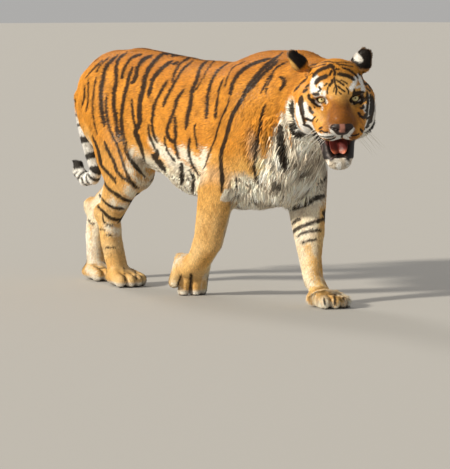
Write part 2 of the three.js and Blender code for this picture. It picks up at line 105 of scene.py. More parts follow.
head = {
    "place": (894, -160, 724), "turn": -39, "tilt": 16, "roll": 2,
    "jawHinge": (-62, 0, -76), "jawTurn": 30,
    "eyeBack": -14, "eyeSpread": 55, "eyeRadius": 19, "lidThick": 3,
}
skull = {  # in the head's own frame, x forward and z up: the centre and radii of each lump
    "cranium": ((-92, 0, 26), (98, 98, 86)),
    "brow": ((-22, 41, 16), (44, 40, 34)),
    "bridge": [(-10, 0, 12, 40, 42), (84, 0, -44, 34, 36)],
    "pad": ((66, 34, -82), (46, 43, 36)),
    "cheekbone": ((8, 50, -58), (66, 42, 52)),
    "ruff": (((-50, 80, -50), (78, 54, 84)), ((-50, -90, -50), (78, 54, 84)),
             ((-112, 86, -72), (62, 58, 100)), ((-112, -104, -76), (62, 58, 100))),
    "throat": ((-120, 0, -120), (95, 92, 100)),
    "socket": ((26, 59, 0), (26, 26, 17)),
    "mouth": (((52, 0, -134), (86, 46, 26)), ((-20, 0, -146), (50, 46, 24))),
    "nose": (((105, 0, -60), (17, 35, 14)), ((107, 0, -72), (13, 20, 14))),
    "nostrils": (((122, 14, -67), (9, 6.5, 5.5)), ((112, 27, -63), (12, 9, 3))),
    "philtrum": [(123, 0, -80, 2, 2), (108, 0, -116, 3, 3)],  # the groove under the nose
    "slit": (17, 16.5, 8.5), "slitPlace": (7, 56, -1), "slitTurn": 10, "slitRoll": 20,
    "jaw": [(-60, 0, -136, 40, 68), (60, 0, -142, 29, 51), (88, 0, -140, 26, 40)],
    "jawHollow": ((30, 0, -106), (80, 36, 24)),
}
ears = {  # place, turn and roll of the left ear (1) and the right (-1), and half their widths
    1: {"place": (-118, 92, 90), "turn": 152, "roll": 24, "half": 38},
    -1: {"place": (-118, -121, 97), "turn": -160, "roll": -38, "half": 29},
    "base": (-10, 25, 38), "top": (6, 22, 48), "topShare": 0.8,  # height, thickness and half height
    "cup": (24, 0, 8), "cupRadii": (27, 37), "cupShare": 0.66,
}


def radial(q, k):
    return np.where(k < 1e-6, -1e3, np.sqrt((q * q).sum(1)) * (1 - 1 / np.maximum(k, 1e-6)))


def lump(centre, radii):
    centre, radii = np.array(centre, np.float32), np.array(radii, np.float32)

    def field(p):
        q = p - centre
        return radial(q, np.sqrt(((q / radii) ** 2).sum(1)))
    return field


def limb(stations):  # a rounded bar through x, y, z, half depth, half width; the width lies across the body
    rows = np.array(stations, np.float32)

    def field(p):
        best = np.full(len(p), np.inf)
        for start, end in zip(rows, rows[1:]):
            along = end[:3] - start[:3]
            t = np.clip((p - start[:3]) @ along / (along @ along), 0, 1)
            q = p - start[:3] - t[:, None] * along
            depth, width = (start[c] + (end[c] - start[c]) * t for c in (3, 4))
            k = np.sqrt((q[:, 1] / width) ** 2 + (q[:, 0] ** 2 + q[:, 2] ** 2) / depth ** 2)
            best = np.minimum(best, radial(q, k))
        return best
    return field


def join(a, b, k):
    h = np.maximum(k - np.abs(a - b), 0) / k
    return np.minimum(a, b) - h * h * k / 4


def blend(k, *fields):
    def field(p):
        total = fields[0](p)
        for other in fields[1:]:
            total = join(total, other(p), k)
        return total
    return field


def carve(k, whole, hole):
    return lambda p: -join(-whole(p), hole(p), k)


def placed(field, matrix):
    inverse = np.array(matrix.inverted(), np.float32)
    return lambda p: field(p @ inverse[:3, :3].T + inverse[:3, 3])


def bounded(field, low, high, room=80):
    # works the field out only near its own box, since nothing else feels it
    low, high = np.array(low, np.float32) - room, np.array(high, np.float32) + room

    def inside(p):
        value = np.full(len(p), 400, np.float32)
        chosen = ((p > low) & (p < high)).all(1)
        if chosen.any():
            value[chosen] = field(p[chosen])
        return value
    return inside


def pose(position, yaw=0, pitch=0, roll=0):
    turn = Euler((radians(roll), radians(pitch), radians(yaw)), "XYZ").to_matrix().to_4x4()
    return Matrix.Translation(position) @ turn


def pair(centre, radii):
    return [lump(centre, radii), lump((centre[0], -centre[1], centre[2]), radii)]


def pawField():
    half, size, radii = paws["width"] / 2, paws["length"], paws["toeRadii"]
    toes = []
    for share in paws["toes"]:
        reach = size * (paws["toeReach"] - paws["toeArc"] * share * share)
        knuckle = (size * paws["knuckleBack"], half * share * paws["knuckleGather"], paws["knuckleHeight"])
        tip = (reach - radii[0], half * share, paws["toeHeight"])
        toes.append(limb([(*knuckle, *radii), (*tip, *radii)]))
    place, long, wide = paws["pad"]
    pad = lump((size * place, 0, paws["padHeight"]), (size * long, half * wide, paws["padDepth"]))
    return blend(rounding["toes"], pad, *toes)


def hangingPawField():
    toes = []
    for i, (x, y, z) in enumerate(hangingPaw["toes"]):
        knuckle = (x + hangingPaw["knuckleAhead"] - hangingPaw["knuckleStep"] * i,
                   y * hangingPaw["gather"] - hangingPaw["gatherBy"], z + hangingPaw["knuckleOver"])
        tip = (x + hangingPaw["tipAhead"], y, z)
        toes.append(limb([(*knuckle, *hangingPaw["knuckleRadii"]), (*tip, *hangingPaw["tipRadii"])]))
    return blend(rounding["toes"], lump(*hangingPaw["pad"]), *toes)


def legField(name):
    if name == "foreRight":
        return blend(rounding["leg"], limb(legs[name]), hangingPawField())
    x, y, turn = paws[name]
    shapes = [limb(legs[name]), placed(pawField(), pose((x, y, 0), turn))]
    if name in heels:
        shapes.append(lump(heels[name], heels["radii"]))
    return blend(rounding["leg"], *shapes)


def trunkField():
    bars = [(x, 0, (top + low) / 2, (top - low) / 2, wide) for x, top, low, wide in body["spine"]]
    shapes = [limb(bars), limb(body["neck"]), *pair(*body["haunch"]),
              lump(*body["shoulderLeft"]), lump(*body["shoulderRight"]), lump(*body["breast"])]
    return blend(rounding["trunk"], *shapes)


headMatrix = pose(head["place"], head["turn"], head["tilt"], head["roll"])
hinge = Matrix.Translation(head["jawHinge"])
jawMatrix = hinge @ Matrix.Rotation(radians(head["jawTurn"]), 4, "Y") @ hinge.inverted()
earMatrices = {side: pose(ears[side]["place"], ears[side]["turn"], 0, ears[side]["roll"]) for side in (1, -1)}
mouthHollow = blend(rounding["mouth"], *[lump(*shape) for shape in skull["mouth"]])
noseShape = blend(rounding["nose"], *[lump(*shape) for shape in skull["nose"]])


def eyeCentre(side):
    return (head["eyeBack"], side * head["eyeSpread"], 0)


def headField():
    whole = blend(
        rounding["skull"], lump(*skull["cranium"]), *pair(*skull["brow"]), limb(skull["bridge"]),
        *pair(*skull["pad"]), *pair(*skull["cheekbone"]), *[lump(*shape) for shape in skull["ruff"]],
        lump(*skull["throat"]))
    whole = carve(rounding["socket"], whole, blend(1, *pair(*skull["socket"])))
    whole = carve(rounding["mouthEdge"], whole, mouthHollow)
    radius = head["eyeRadius"] + head["lidThick"]
    whole = blend(rounding["eye"], whole, *[lump(eyeCentre(side), [radius] * 3) for side in (1, -1)])
    x, y, z = skull["slitPlace"]
    for side in (1, -1):  # the almond opening between the lids, its inner corner low
        turn = pose((x, side * y, z), side * skull["slitTurn"], 0, side * skull["slitRoll"])
        whole = carve(rounding["slit"], whole, placed(lump((0, 0, 0), skull["slit"]), turn))
    whole = blend(rounding["noseToSkull"], whole, noseShape)
    nostrils = [field for shape in skull["nostrils"] for field in pair(*shape)]
    whole = carve(rounding["nostrilEdge"], whole, blend(rounding["nostrils"], *nostrils))
    whole = carve(rounding["philtrum"], whole, limb(skull["philtrum"]))
    jaw = carve(rounding["jawHollow"], limb(skull["jaw"]), lump(*skull["jawHollow"]))
    whole = blend(rounding["jaw"], whole, placed(jaw, jawMatrix), earField(1), earField(-1))
    return placed(whole, headMatrix)


def earField(side):
    half = ears[side]["half"]
    (baseHeight, baseThick, baseTall), (topHeight, topThick, topTall) = ears["base"], ears["top"]
    shell = blend(rounding["ear"], lump((0, 0, baseHeight), (baseThick, half, baseTall)),
                  lump((0, 0, topHeight), (topThick, half * ears["topShare"], topTall)))
    deep, tall = ears["cupRadii"]
    cup = lump(ears["cup"], (deep, half * ears["cupShare"], tall))
    return placed(carve(rounding["earCup"], shell, cup), earMatrices[side])


tailField = limb([(x, y, z, radius, radius) for x, y, z, radius in body["tail"]])
parts = {  # each with the box that holds it
    "trunk": bounded(trunkField(), (-600, -210, 300), (820, 210, 900)),
    "tail": bounded(tailField, (-710, -50, 340), (-480, 90, 800)),
    "head": bounded(headField(), (650, -400, 460), (1040, 60, 930)),
    "foreRight": bounded(legField("foreRight"), (10, -200, -10), (530, -30, 670)),
    "foreLeft": bounded(legField("foreLeft"), (370, -30, -10), (760, 190, 670)),
    "hindRight": bounded(legField("hindRight"), (-500, -180, -10), (-140, 30, 750)),
    "hindLeft": bounded(legField("hindLeft"), (-660, -40, -10), (-290, 170, 750)),
}


def bodyField(p):
    total = parts["trunk"](p)
    for name in legs:
        total = join(total, parts[name](p), rounding["legToTrunk"])
    total = join(total, parts["tail"](p), rounding["tailToTrunk"])
    return join(total, parts["head"](p), rounding["headToTrunk"])


# the frame's origin lies under the middle of the animal, so one known point gives the shift
low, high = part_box("eye_left")
eyeAt = np.array(headMatrix @ Vector(eyeCentre(1)))
shift = np.array([(a + b) * 500 for a, b in zip(low, high)]) - eyeAt


def toMillimetres(points):
    return (np.asarray(points) * 1000 - shift).astype(np.float32)


def toMetres(points):
    return (np.asarray(points) + shift) / 1000


def movePoints(shape, points):  # to places in millimetres
    for vertex, place in zip(shape.verts, toMetres(points)):
        vertex.co = place


headInverse = np.array(headMatrix.inverted(), np.float32)
jawInverse = np.array(jawMatrix.inverted(), np.float32)


def inHead(p):
    return p @ headInverse[:3, :3].T + headInverse[:3, 3]


def ramp(value, start, end):  # 0 at start, 1 at end, smooth between
    t = np.clip((value - start) / (end - start), 0, 1)
    return t * t * (3 - 2 * t)


coatZones = {  # millimetres from the skin to the tips, a tuft's length and width, its lift off the skin
    # in degrees, and how many tufts stand on a square centimetre
    "trunk": (6, 17, 3.4, 9, 10.2),
    "belly": (15, 46, 3.9, 17, 10),
    "chest": (18, 60, 3.9, 19, 9.5),
    "leg": (4.5, 12, 2.8, 9, 12.5),
    "paw": (3, 9, 2.2, 8, 20),
    "tail": (6, 16, 3.4, 13, 17),
    "cheek": (6, 10, 2.2, 12, 25),
    "ruff": (17, 40, 3.2, 15, 15),
    "face": (2, 8, 1.8, 10, 38),
    "ear": (2.5, 10, 2, 12, 24),
    "bare": (0.4, 4, 1, 5, 0),
}
coatColumns = ("depth", "length", "width", "lift", "density")
coat = {
    "longFrom": 32,  # longer tufts are bent locks, shorter ones straight
    "jitter": 10, "longCalmer": 0.4, "sweep": 9, "curl": 14,  # degrees, and less jitter on long tufts
    "hang": 22, "hangWhere": (-0.25, -0.8),  # hair under the body stands steeper
    "lengthSpread": (0.75, 1.2), "widthSpread": (0.8, 1.2), "liftSpread": 3, "leastLift": 2,
    "showsAt": 0.55,  # the share of its length where a tuft shows its colour
    "patch": 0.003, "margin": 0.002,  # the size of each tuft's patch on the unwrap, and the room round it
    "floorGap": 0.2,
}


zoneEdges = {  # where each zone starts and where it is whole, in millimetres
    # the body's zones, by the gap between the parts' fields or by place
    "head": (-12, 14), "headBack": (-200, -150), "tail": (6, 26), "leg": (0, 40), "paw": (150, 60),
    "forelegTop": (345, 400), "forelegFront": (420, 450), "forelegInner": (-30, 0),
    "forelegOuter": (135, 105), "chestFront": (430, 520), "chestTop": (720, 600),
    "brisketTop": (475, 425), "brisketBack": (250, 330),
    "chestToHead": (-120, -60), "bellyTop": (500, 410), "bellyFront": (420, 300), "bellyBack": (-420, -300),
    # the head's zones, in the head's own frame
    "face": (-62, -22), "ear": (10, 2), "earBase": (62, 76), "ruffFront": (-40, -85), "ruffTop": (-10, -50),
    "lipTop": (-118, -128), "lipBack": (-90, -60), "chinSides": (34, 14), "chinFront": (78, 92),
    "lipSides": (62, 88), "lipHeight": (-130, -124), "lid": (1.5, 3.5), "nose": (1, 4), "mouth": (0, 6),
}
faceShape = {"middle": -30, "flat": 60, "slope": 0.35}  # the face's edge curves back round the muzzle
lowerLip = {"chinDip": 10, "sideRise": 24}


def within(value, name):
    return ramp(value, *zoneEdges[name])


def zones(p):
    # how much each point belongs to the parts of the coat
    q = inHead(p)
    x, y, z = p.T
    near = {name: field(p) for name, field in parts.items()}
    leg = np.minimum.reduce([near[name] for name in legs])
    onHead = within(near["trunk"] - near["head"], "head") * within(q[:, 0], "headBack")
    onTail = within(np.minimum(near["trunk"], leg) - near["tail"], "tail")
    onLeg = within(near["trunk"] - leg, "leg") * (1 - onTail)
    out = np.sqrt(q[:, 1] ** 2 + (q[:, 2] - faceShape["middle"]) ** 2)
    face = onHead * within(q[:, 0] - faceShape["slope"] * np.maximum(out - faceShape["flat"], 0), "face")
    eye = np.minimum.reduce([np.linalg.norm(q - np.array(eyeCentre(s)), axis=1) for s in (1, -1)])
    nose = noseShape(q)
    mouth = mouthHollow(q)
    lips = within(q[:, 2], "lipTop") * within(q[:, 0], "lipBack")
    lid = np.minimum(lidGap(q, 1)[0], lidGap(q, -1)[0])
    inJaw = q @ jawInverse[:3, :3].T + jawInverse[:3, 3]
    dip = lowerLip["chinDip"] * within(np.abs(q[:, 1]), "chinSides") * within(inJaw[:, 0], "chinFront")
    rise = lowerLip["sideRise"] * (1 - within(inJaw[:, 0], "lipSides"))
    lipTop = lips * within(inJaw[:, 2] - dip + rise, "lipHeight")
    bare = onHead * np.maximum.reduce([
        1 - within(lid, "lid"), 1 - within(nose, "nose"), (1 - within(mouth, "mouth")) * lips, lipTop])
    ear = onHead * within(earDistance(q), "ear") * within(q[:, 2], "earBase")
    ruff = onHead * (1 - face) * within(q[:, 0], "ruffFront") * within(q[:, 2], "ruffTop")
    bareLeg = onLeg * (1 - within(z, "forelegTop") * within(x, "forelegFront")
                       * within(y, "forelegInner") * within(y, "forelegOuter"))
    front = within(x, "chestFront") * within(z, "chestTop")
    brisket = within(z, "brisketTop") * within(x, "brisketBack")  # the underside between the forelegs
    neck = onHead * within(q[:, 0], "chestToHead")
    return {
        "q": q, "head": onHead, "tail": onTail, "leg": onLeg, "face": face, "ruff": ruff,
        "bare": bare, "ear": ear, "eye": eye, "lid": lid, "lipTop": lipTop, "nose": nose, "mouth": mouth,
        "cheek": onHead,
        "paw": onLeg * within(z, "paw"),
        "chest": (1 - neck) * np.maximum(front, brisket) * (1 - bareLeg),
        "belly": (1 - onLeg) * within(z, "bellyTop") * within(x, "bellyFront") * within(x, "bellyBack"),
    }


earShape = lump((0, 0, 0), (25, 38, 48))
earInverses = {side: np.array(matrix.inverted(), np.float32) for side, matrix in earMatrices.items()}


def inEar(q):  # in the frame of the ear on the same side of the head
    left, right = (q @ earInverses[side][:3, :3].T + earInverses[side][:3, 3] for side in (1, -1))
    return np.where(q[:, 1:2] > 0, left, right)


def earDistance(q):
    return earShape(inEar(q))


def mixBy(zone, name):
    # one value for every point, from the values of the zones that it lies in
    column = coatColumns.index(name)
    total = np.full(len(zone["head"]), float(coatZones["trunk"][column]))
    for part, values in coatZones.items():
        if part != "trunk":
            total += (values[column] - total) * zone[part]
    return total


def settle(points, rounds=2):
    # moves points in millimetres on to the skin, which lies inside the body's surface by the coat's depth
    depth = mixBy(zones(points), "depth")
    for _ in range(rounds):
        value = bodyField(points)
        slope = np.stack([bodyField(points + step) - value for step in np.eye(3, dtype=np.float32)], 1)
        size = np.maximum((slope ** 2).sum(1), skinSettings["leastSlope"])
        move = slope * ((value + depth) / size)[:, None]
        reach = np.maximum(np.linalg.norm(move, axis=1), 1e-9)
        points = points - move * np.minimum(1, skinSettings["longestMove"] / reach)[:, None]
    points[:, 2] = np.maximum(points[:, 2], skinSettings["soleHeight"])  # the soles are flat on the floor
    return points


def valuesOf(items, name, kind):  # rows of three from a mesh
    flat = np.empty(len(items) * 3, kind)
    items.foreach_get(name, flat)
    return flat.reshape(-1, 3)


def link(name, data):
    item = bpy.data.objects.new(name, data)
    bpy.context.scene.collection.objects.link(item)
    return item


def meshOf(name, shape, smooth=True):
    # the finished mesh of a bmesh, which is freed
    mesh = bpy.data.meshes.new(name)
    shape.to_mesh(mesh)
    shape.free()
    if smooth:
        mesh.shade_smooth()
    return mesh


def newMaterial(name):
    material = bpy.data.materials.new(name)
    material.use_nodes = True
    return material, material.node_tree.nodes["Principled BSDF"]


def addNode(tree, kind, inputs, **settings):
    # a node with its settings, and each input's value or the socket that feeds it
    node = tree.nodes.new(kind)
    for name, value in settings.items():
        setattr(node, name, value)
    for name, value in inputs.items():
        if isinstance(value, bpy.types.NodeSocket):
            tree.links.new(value, node.inputs[name])
        else:
            node.inputs[name].default_value = value
    return node


def lidGap(points, side):
    # how far each point of the head lies above or below the almond opening between the lids, and from the eye
    out = points - np.array(eyeCentre(side))
    angle = radians(side * lids["turn"])
    across = out[:, 1] * cos(angle) + out[:, 2] * sin(angle)
    height = -out[:, 1] * sin(angle) + out[:, 2] * cos(angle) + lids["drop"]
    room = lids["height"] * (1 - (across / lids["reach"]) ** 2)
    distance = np.linalg.norm(out, axis=1)
    near = (distance < lids["within"]) & (out[:, 0] > lids["front"]) & (room > -lids["corner"])
    return np.where(near, np.abs(height) - np.maximum(room, 0), lids["far"]), out, distance


skinSettings = {
    "net": 0.0115,  # metres between points, halved at the head and paws and quartered on the face
    "soleHeight": 1.5, "leastSlope": 0.2, "longestMove": 12,
    # where the net is made finer, millimetres
    "faceFrom": -40, "browTop": 42, "roundEye": 27, "roundNose": 5,
    "lidInner": -0.8, "lidEdge": 0.9, "lidRoom": 0.4,
}


def skinMesh():
    joined = bmesh.new()
    for name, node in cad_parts.items():
        if name != "tongue":
            joined.from_mesh(node.data)
    rough = link("joined", meshOf("joined", joined, smooth=False))
    even = rough.modifiers.new("even", "REMESH")
    even.mode = "VOXEL"
    even.voxel_size = skinSettings["net"]
    result = bpy.data.meshes.new_from_object(rough.evaluated_get(bpy.context.evaluated_depsgraph_get()))
    bpy.data.objects.remove(rough)
    net = bmesh.new()
    net.from_mesh(result)
    keepLargest(net)

    def refine(chosen, rounds):
        picked = [f for f in net.faces if chosen[f.index]]
        lines = list({e for f in picked for e in f.edges})
        bmesh.ops.subdivide_edges(net, edges=lines, cuts=1, use_grid_fill=True)
        relax(net, rounds)

    relax(net, 2)
    zone = zones(faceMiddles(net))
    refine((zone["head"] > 0.4) | (zone["paw"] > 0.4), 2)
    zone = zones(faceMiddles(net))
    q = zone["q"]
    front = (q[:, 0] > skinSettings["faceFrom"]) & (q[:, 2] < skinSettings["browTop"])
    refine((zone["face"] > 0.5) & front & (zone["head"] > 0.5), 2)
    zone = zones(faceMiddles(net))
    fine = (zone["eye"] < skinSettings["roundEye"]) | (zone["nose"] < skinSettings["roundNose"])
    refine((zone["head"] > 0.5) & fine, 1)
    openLids(net)
    bmesh.ops.recalc_face_normals(net, faces=net.faces)
    net.to_mesh(result)
    net.free()
    result.shade_smooth()
    return result


def openLids(net):
    # lays the skin inside the almond opening behind the eyeball, and its edge on the opening's outline
    points = inHead(toMillimetres([v.co[:] for v in net.verts]))
    for side in (1, -1):
        gap, out, distance = lidGap(points, side)
        inner = gap < skinSettings["lidInner"]
        edge = ~inner & (gap < skinSettings["lidEdge"])
        out[inner] *= (lids["inner"] / distance[inner])[:, None]
        out[edge] *= ((head["eyeRadius"] + skinSettings["lidRoom"]) / distance[edge])[:, None]
        points[inner | edge] = (out + np.array(eyeCentre(side)))[inner | edge]
    back = np.array(headMatrix)
    movePoints(net, points @ back[:3, :3].T + back[:3, 3])


def keepLargest(net):
    # the largest closed shell only
    net.verts.index_update()
    seen, best = set(), []
    for seed in net.verts:
        if seed.index in seen:
            continue
        group, edge = [seed], [seed]
        seen.add(seed.index)
        while edge:
            for line in edge.pop().link_edges:
                for vertex in line.verts:
                    if vertex.index not in seen:
                        seen.add(vertex.index)
                        group.append(vertex)
                        edge.append(vertex)
        if len(group) > len(best):
            best = group
    kept = set(best)
    bmesh.ops.delete(net, geom=[v for v in net.verts if v not in kept], context="VERTS")


def faceMiddles(net):
    net.faces.ensure_lookup_table()
    net.faces.index_update()
    return toMillimetres([f.calc_center_median()[:] for f in net.faces])


def relax(net, rounds):
    for step in range(rounds):
        if step:
            bmesh.ops.smooth_vert(
                net, verts=net.verts, factor=0.5, use_axis_x=True, use_axis_y=True, use_axis_z=True)
        movePoints(net, settle(toMillimetres([v.co[:] for v in net.verts])))


# Camera, floor and light.
viewpoint = {
    "azimuth": 47, "elevation": 5.2, "distance": 9.0, "millimetresPerPixel": 3.6,
    "aim": (0, 0, 400), "aimPixel": (191.5, 181.7), "frame": (450, 469), "sensor": 36,
}
studio = {
    "floorSize": 120, "floor": (0.44, 0.43, 0.41), "floorRoughness": 0.9,
    "sky": (1.0, 0.985, 0.96), "skyPower": 0.42,
    "key": {"from": (-0.3, -1.0, 0.46), "spread": 6, "power": 4.6, "colour": (1, 0.92, 0.78)},
    "rim": {"from": (-1.0, 0.25, 0.8), "spread": 14, "power": 0.7, "colour": (1, 0.95, 0.88)},
}
turn, rise = radians(viewpoint["azimuth"]), radians(viewpoint["elevation"])
back = Vector((sin(turn) * cos(rise), -cos(turn) * cos(rise), sin(rise)))
right = Vector((cos(turn), sin(turn), 0))
up = back.cross(right)
focal = viewpoint["distance"] * 1000 / viewpoint["millimetresPerPixel"]  # in pixels
across = (viewpoint["aimPixel"][0] - viewpoint["frame"][0] / 2) / focal
down = (viewpoint["aimPixel"][1] - viewpoint["frame"][1] / 2) / focal
eyePoint = Vector(toMetres(viewpoint["aim"])) + (back - right * across + up * down) * viewpoint["distance"]


def addCamera():
    data = bpy.data.cameras.new("camera")
    data.sensor_width = viewpoint["sensor"]
    data.lens = focal * viewpoint["sensor"] / max(viewpoint["frame"])
    camera = link("camera", data)
    camera.matrix_world = Matrix.Translation(eyePoint) @ Matrix((right, up, back)).transposed().to_4x4()
    bpy.context.scene.camera = camera


def addLight(name):
    values = studio[name]
    data = bpy.data.lights.new(name, "SUN")
    data.angle, data.energy, data.color = radians(values["spread"]), values["power"], values["colour"]
    lamp = link(name, data)
    lamp.rotation_euler = Vector(values["from"]).to_track_quat("Z", "Y").to_euler()


def addStudio():
    shape = bmesh.new()
    bmesh.ops.create_grid(shape, x_segments=1, y_segments=1, size=studio["floorSize"])
    floor = link("floor", meshOf("floor", shape, smooth=False))
    material, shader = newMaterial("paleFloor")
    shader.inputs["Base Color"].default_value = (*studio["floor"], 1)
    shader.inputs["Roughness"].default_value = studio["floorRoughness"]
    floor.data.materials.append(material)
    world = bpy.data.worlds.new("studio")
    bpy.context.scene.world = world
    world.use_nodes = True
    sky = world.node_tree.nodes["Background"]
    sky.inputs["Color"].default_value = (*studio["sky"], 1)
    sky.inputs["Strength"].default_value = studio["skyPower"]
    bpy.context.scene.view_settings.view_transform = "Standard"
    addLight("key")
    addLight("rim")


# Markings, some of them painted shade or painted highlights, each a width and the points of its middle line,
# in pixels of the camera's frame.
# They are laid on the skin along the camera's rays, and copied to the hidden side.
flankStripes = [
    (2.2, (85, 86), (84.5, 97.5), (82, 107)),
    (1.8, (89, 78.5), (88.5, 89.5), (88.5, 101), (86.5, 111)),
    (1.8, (97, 75.5), (95, 86), (93.5, 97.5), (93, 107), (94.5, 121.5), (97.5, 134)),
    (2, (103, 60), (92.5, 70.5), (85.5, 78.5)),
    (1.2, (101, 56.5), (88.5, 67.5)),
    (1.8, (110.5, 56.5), (101, 65), (97, 72.5)),
    (4.2, (117.5, 55.5), (107, 66), (103.5, 78.5), (101.5, 90.5), (101.5, 102), (103, 116.5), (105, 126)),
    (2.6, (107, 93.5), (106.5, 107), (108, 120.5), (112, 134), (117.5, 145), (122, 159.5), (127, 174),
     (132.5, 182.5), (139, 188.5)),
    (4, (127, 52.5), (119.5, 59), (116.5, 68.5), (116.5, 81), (114.5, 93.5), (114.5, 107), (116.5, 119.5),
     (117.5, 131), (120, 141.5)),
    (3.2, (141.5, 54.5), (132.5, 58), (126, 66), (123, 73.5), (122.5, 79)),
    (3.8, (133, 67.5), (129.5, 76.5), (127.5, 86), (124.5, 97.5), (122.5, 111), (122, 122.5), (123.5, 135.5),
     (126, 149), (130, 158.5), (136.5, 167), (145, 177)),
    (4.4, (152, 55.5), (142.5, 61), (137.5, 69.5), (136.5, 76.5), (132.5, 83)),
    (5, (177.5, 54.5), (163.5, 54.5), (155.5, 61), (149, 69.5), (145, 80), (143, 91.5), (140.5, 101),
     (140, 112.5), (140, 123), (136.5, 131), (138.5, 139.5), (141.5, 148), (145, 161.5)),
    (2.6, (132, 99.5), (133, 111), (134.5, 121.5), (136.5, 130)),
    (4.4, (173, 60.5), (163.5, 67.5), (154, 78.5), (151, 88), (149, 96.5)),
    (3, (168, 80), (161.5, 91.5), (155.5, 103), (153.5, 112.5), (152.5, 124), (154, 134.5), (158, 143)),
    (2.6, (149, 125), (149.5, 134), (152.5, 141.5), (155.5, 149)),
    (3.2, (191, 57), (180.5, 64), (175, 73.5), (172.5, 82)),
    (3.2, (194, 60), (183.5, 69.5), (176, 81), (168, 95.5), (163, 107)),
    (3.4, (184.5, 89.5), (177.5, 99.5), (175, 109), (170, 121.5), (167.5, 132), (170.5, 139.5), (176, 142.5)),
    (3.2, (175.5, 116.5), (175.5, 126), (176, 135.5), (175.5, 145), (179, 158.5)),
    (4.2, (210, 59), (201.5, 67), (197, 80), (192.5, 91.5), (190.5, 105), (188, 116.5), (186, 129)),
    (2, (216.5, 59.5), (207.5, 70), (203, 79), (196, 90.5)),
    (2, (196, 123), (195, 132), (197, 141.5), (197.5, 149)),
    (2.8, (190.5, 137.5), (189, 148), (191, 160.5), (196, 169), (201.5, 175)),
    (2.2, (165, 136.5), (166, 145), (169, 153), (176, 161.5)),
    (3.6, (230.5, 62), (219, 70), (212, 81.5), (208.5, 93), (207.5, 104.5), (206.5, 119)),
    (2.4, (224, 78), (219.5, 89.5), (217.5, 102), (215.5, 119)),
    (2.2, (244.5, 62), (233, 68.5), (227, 80), (226, 87)),
    (3.8, (270.5, 58.5), (253.5, 64), (242, 71), (234, 81.5), (230.5, 95)),
    (2, (229.5, 96.5), (228, 104.5), (224, 113.5), (220, 122.5), (215.5, 138.5), (210, 152.5), (204, 169.5)),
    (4, (283.5, 52.5), (268.5, 64), (258, 74.5), (249, 86), (243, 97.5), (234, 112.5), (229.5, 125),
     (226, 138.5), (221.5, 152.5), (221, 164), (222.5, 178), (221.5, 192.5)),
    (3.4, (278.5, 60.5), (262.5, 75.5), (253.5, 86), (245.5, 93)),
    (2, (287, 62), (277.5, 67.5), (269.5, 78), (265, 86), (260.5, 94)),
    (1.5, (274, 74.5), (267.5, 86), (266, 95)),
    (3, (265.5, 104.5), (262, 118), (260, 132), (257, 149), (255, 166.5), (258, 175.5), (262.5, 183.5)),
    (3.6, (280, 76.5), (284.5, 80), (283.5, 86), (280.5, 89.5)),
    (6, (282, 126), (281, 141), (283.5, 155), (285.5, 167.5)),
    (2, (236.5, 175.5), (237, 188), (239.5, 200.5)),
    (6, (158.5, 151), (156.5, 157.5), (161.5, 163.5)),
    (5, (182.5, 163.5), (183.5, 174), (184.5, 181.5)),
    (3.4, (191, 170), (196, 179.5), (195, 187.5)),
]
hindLegStripesAndToeShade = [
    (3.4, (92.5, 136.5), (98, 149.5), (101, 163.5), (105.5, 170), (111, 175.5), (116.5, 183)),
    (3.2, (104.5, 141), (107.5, 149.5), (114, 161.5), (116.5, 170), (123, 177.5), (130.5, 182), (136, 188.5)),
    (3.8, (103.5, 179), (107.5, 187.5), (116.5, 194), (125, 199.5), (132.5, 201.5)),
    (3, (99, 194), (105.5, 202.5), (113, 207), (124, 209)),
    (3.4, (97, 205), (102.5, 210.5), (109, 217), (117.5, 219.5), (125, 217)),
    (1.6, (102.5, 212.5), (103.5, 220), (107.5, 224.5), (114, 225.5)),
    (2, (88, 219), (91.5, 223.5)),
    (2, (93, 223), (94.5, 224)),
    (2, (98, 228.5), (105.5, 230)),
    (1.6, (106.5, 234.5), (114, 235.5)),
    (1.4, (105.5, 247.5), (116.5, 247.5)),
    # painted shade in the gaps between the hind paw's toes
    (1.2, (124, 267.5), (125, 281)),
    (1.4, (135, 270), (136, 279.5)),
]
foreLegStripesAndToeShade = [
    (2.6, (307.6, 188.6), (317.2, 183.8), (326.8, 176.6)),
    (4.6, (287.2, 209), (298, 206.6), (307.6, 203), (314.8, 198.2), (324.4, 195.8)),
    (2.2, (286, 204.5), (292, 203)),
    (3, (289.6, 225.8), (295.6, 221), (300.4, 218.6)),
    (3.2, (305, 224.6), (310, 223.4), (317.2, 221), (324.4, 218.6), (328, 213.8)),
    (3.4, (292, 236.6), (294.4, 230.6), (300.4, 227), (306.4, 224.6)),
    (2.8, (296.8, 236.6), (302.8, 233), (312.4, 230.6), (320.8, 230.6)),
    (2.4, (301, 243), (308, 240.5), (317, 239)),
    # painted shade in the gaps between the toes of both forepaws
    (2.4, (334.5, 294), (335, 305.5)),
    (2.2, (343, 297), (344, 300)),
    (2, (324, 298), (325, 305)),
    (1.8, (181.5, 273.5), (177.5, 286)),
    (3, (191, 273.5), (190, 291.5)),
]
paintedShadePatches = [  # painted shade on the throat and chest, under the jaw and between the long locks, partly darker hair
    (6, (298, 155), (306, 160), (317, 156)),
    (6, (292, 162), (300, 164.6), (312, 163.4), (321, 161)),
    (5, (264.4, 182.6), (271.6, 187.4), (281.2, 185)),
    (4, (286, 168), (281, 176), (276, 184)),
    (4, (327, 172), (331, 182), (329, 192)),
    (4, (262, 196), (270, 200), (280, 201)),
]
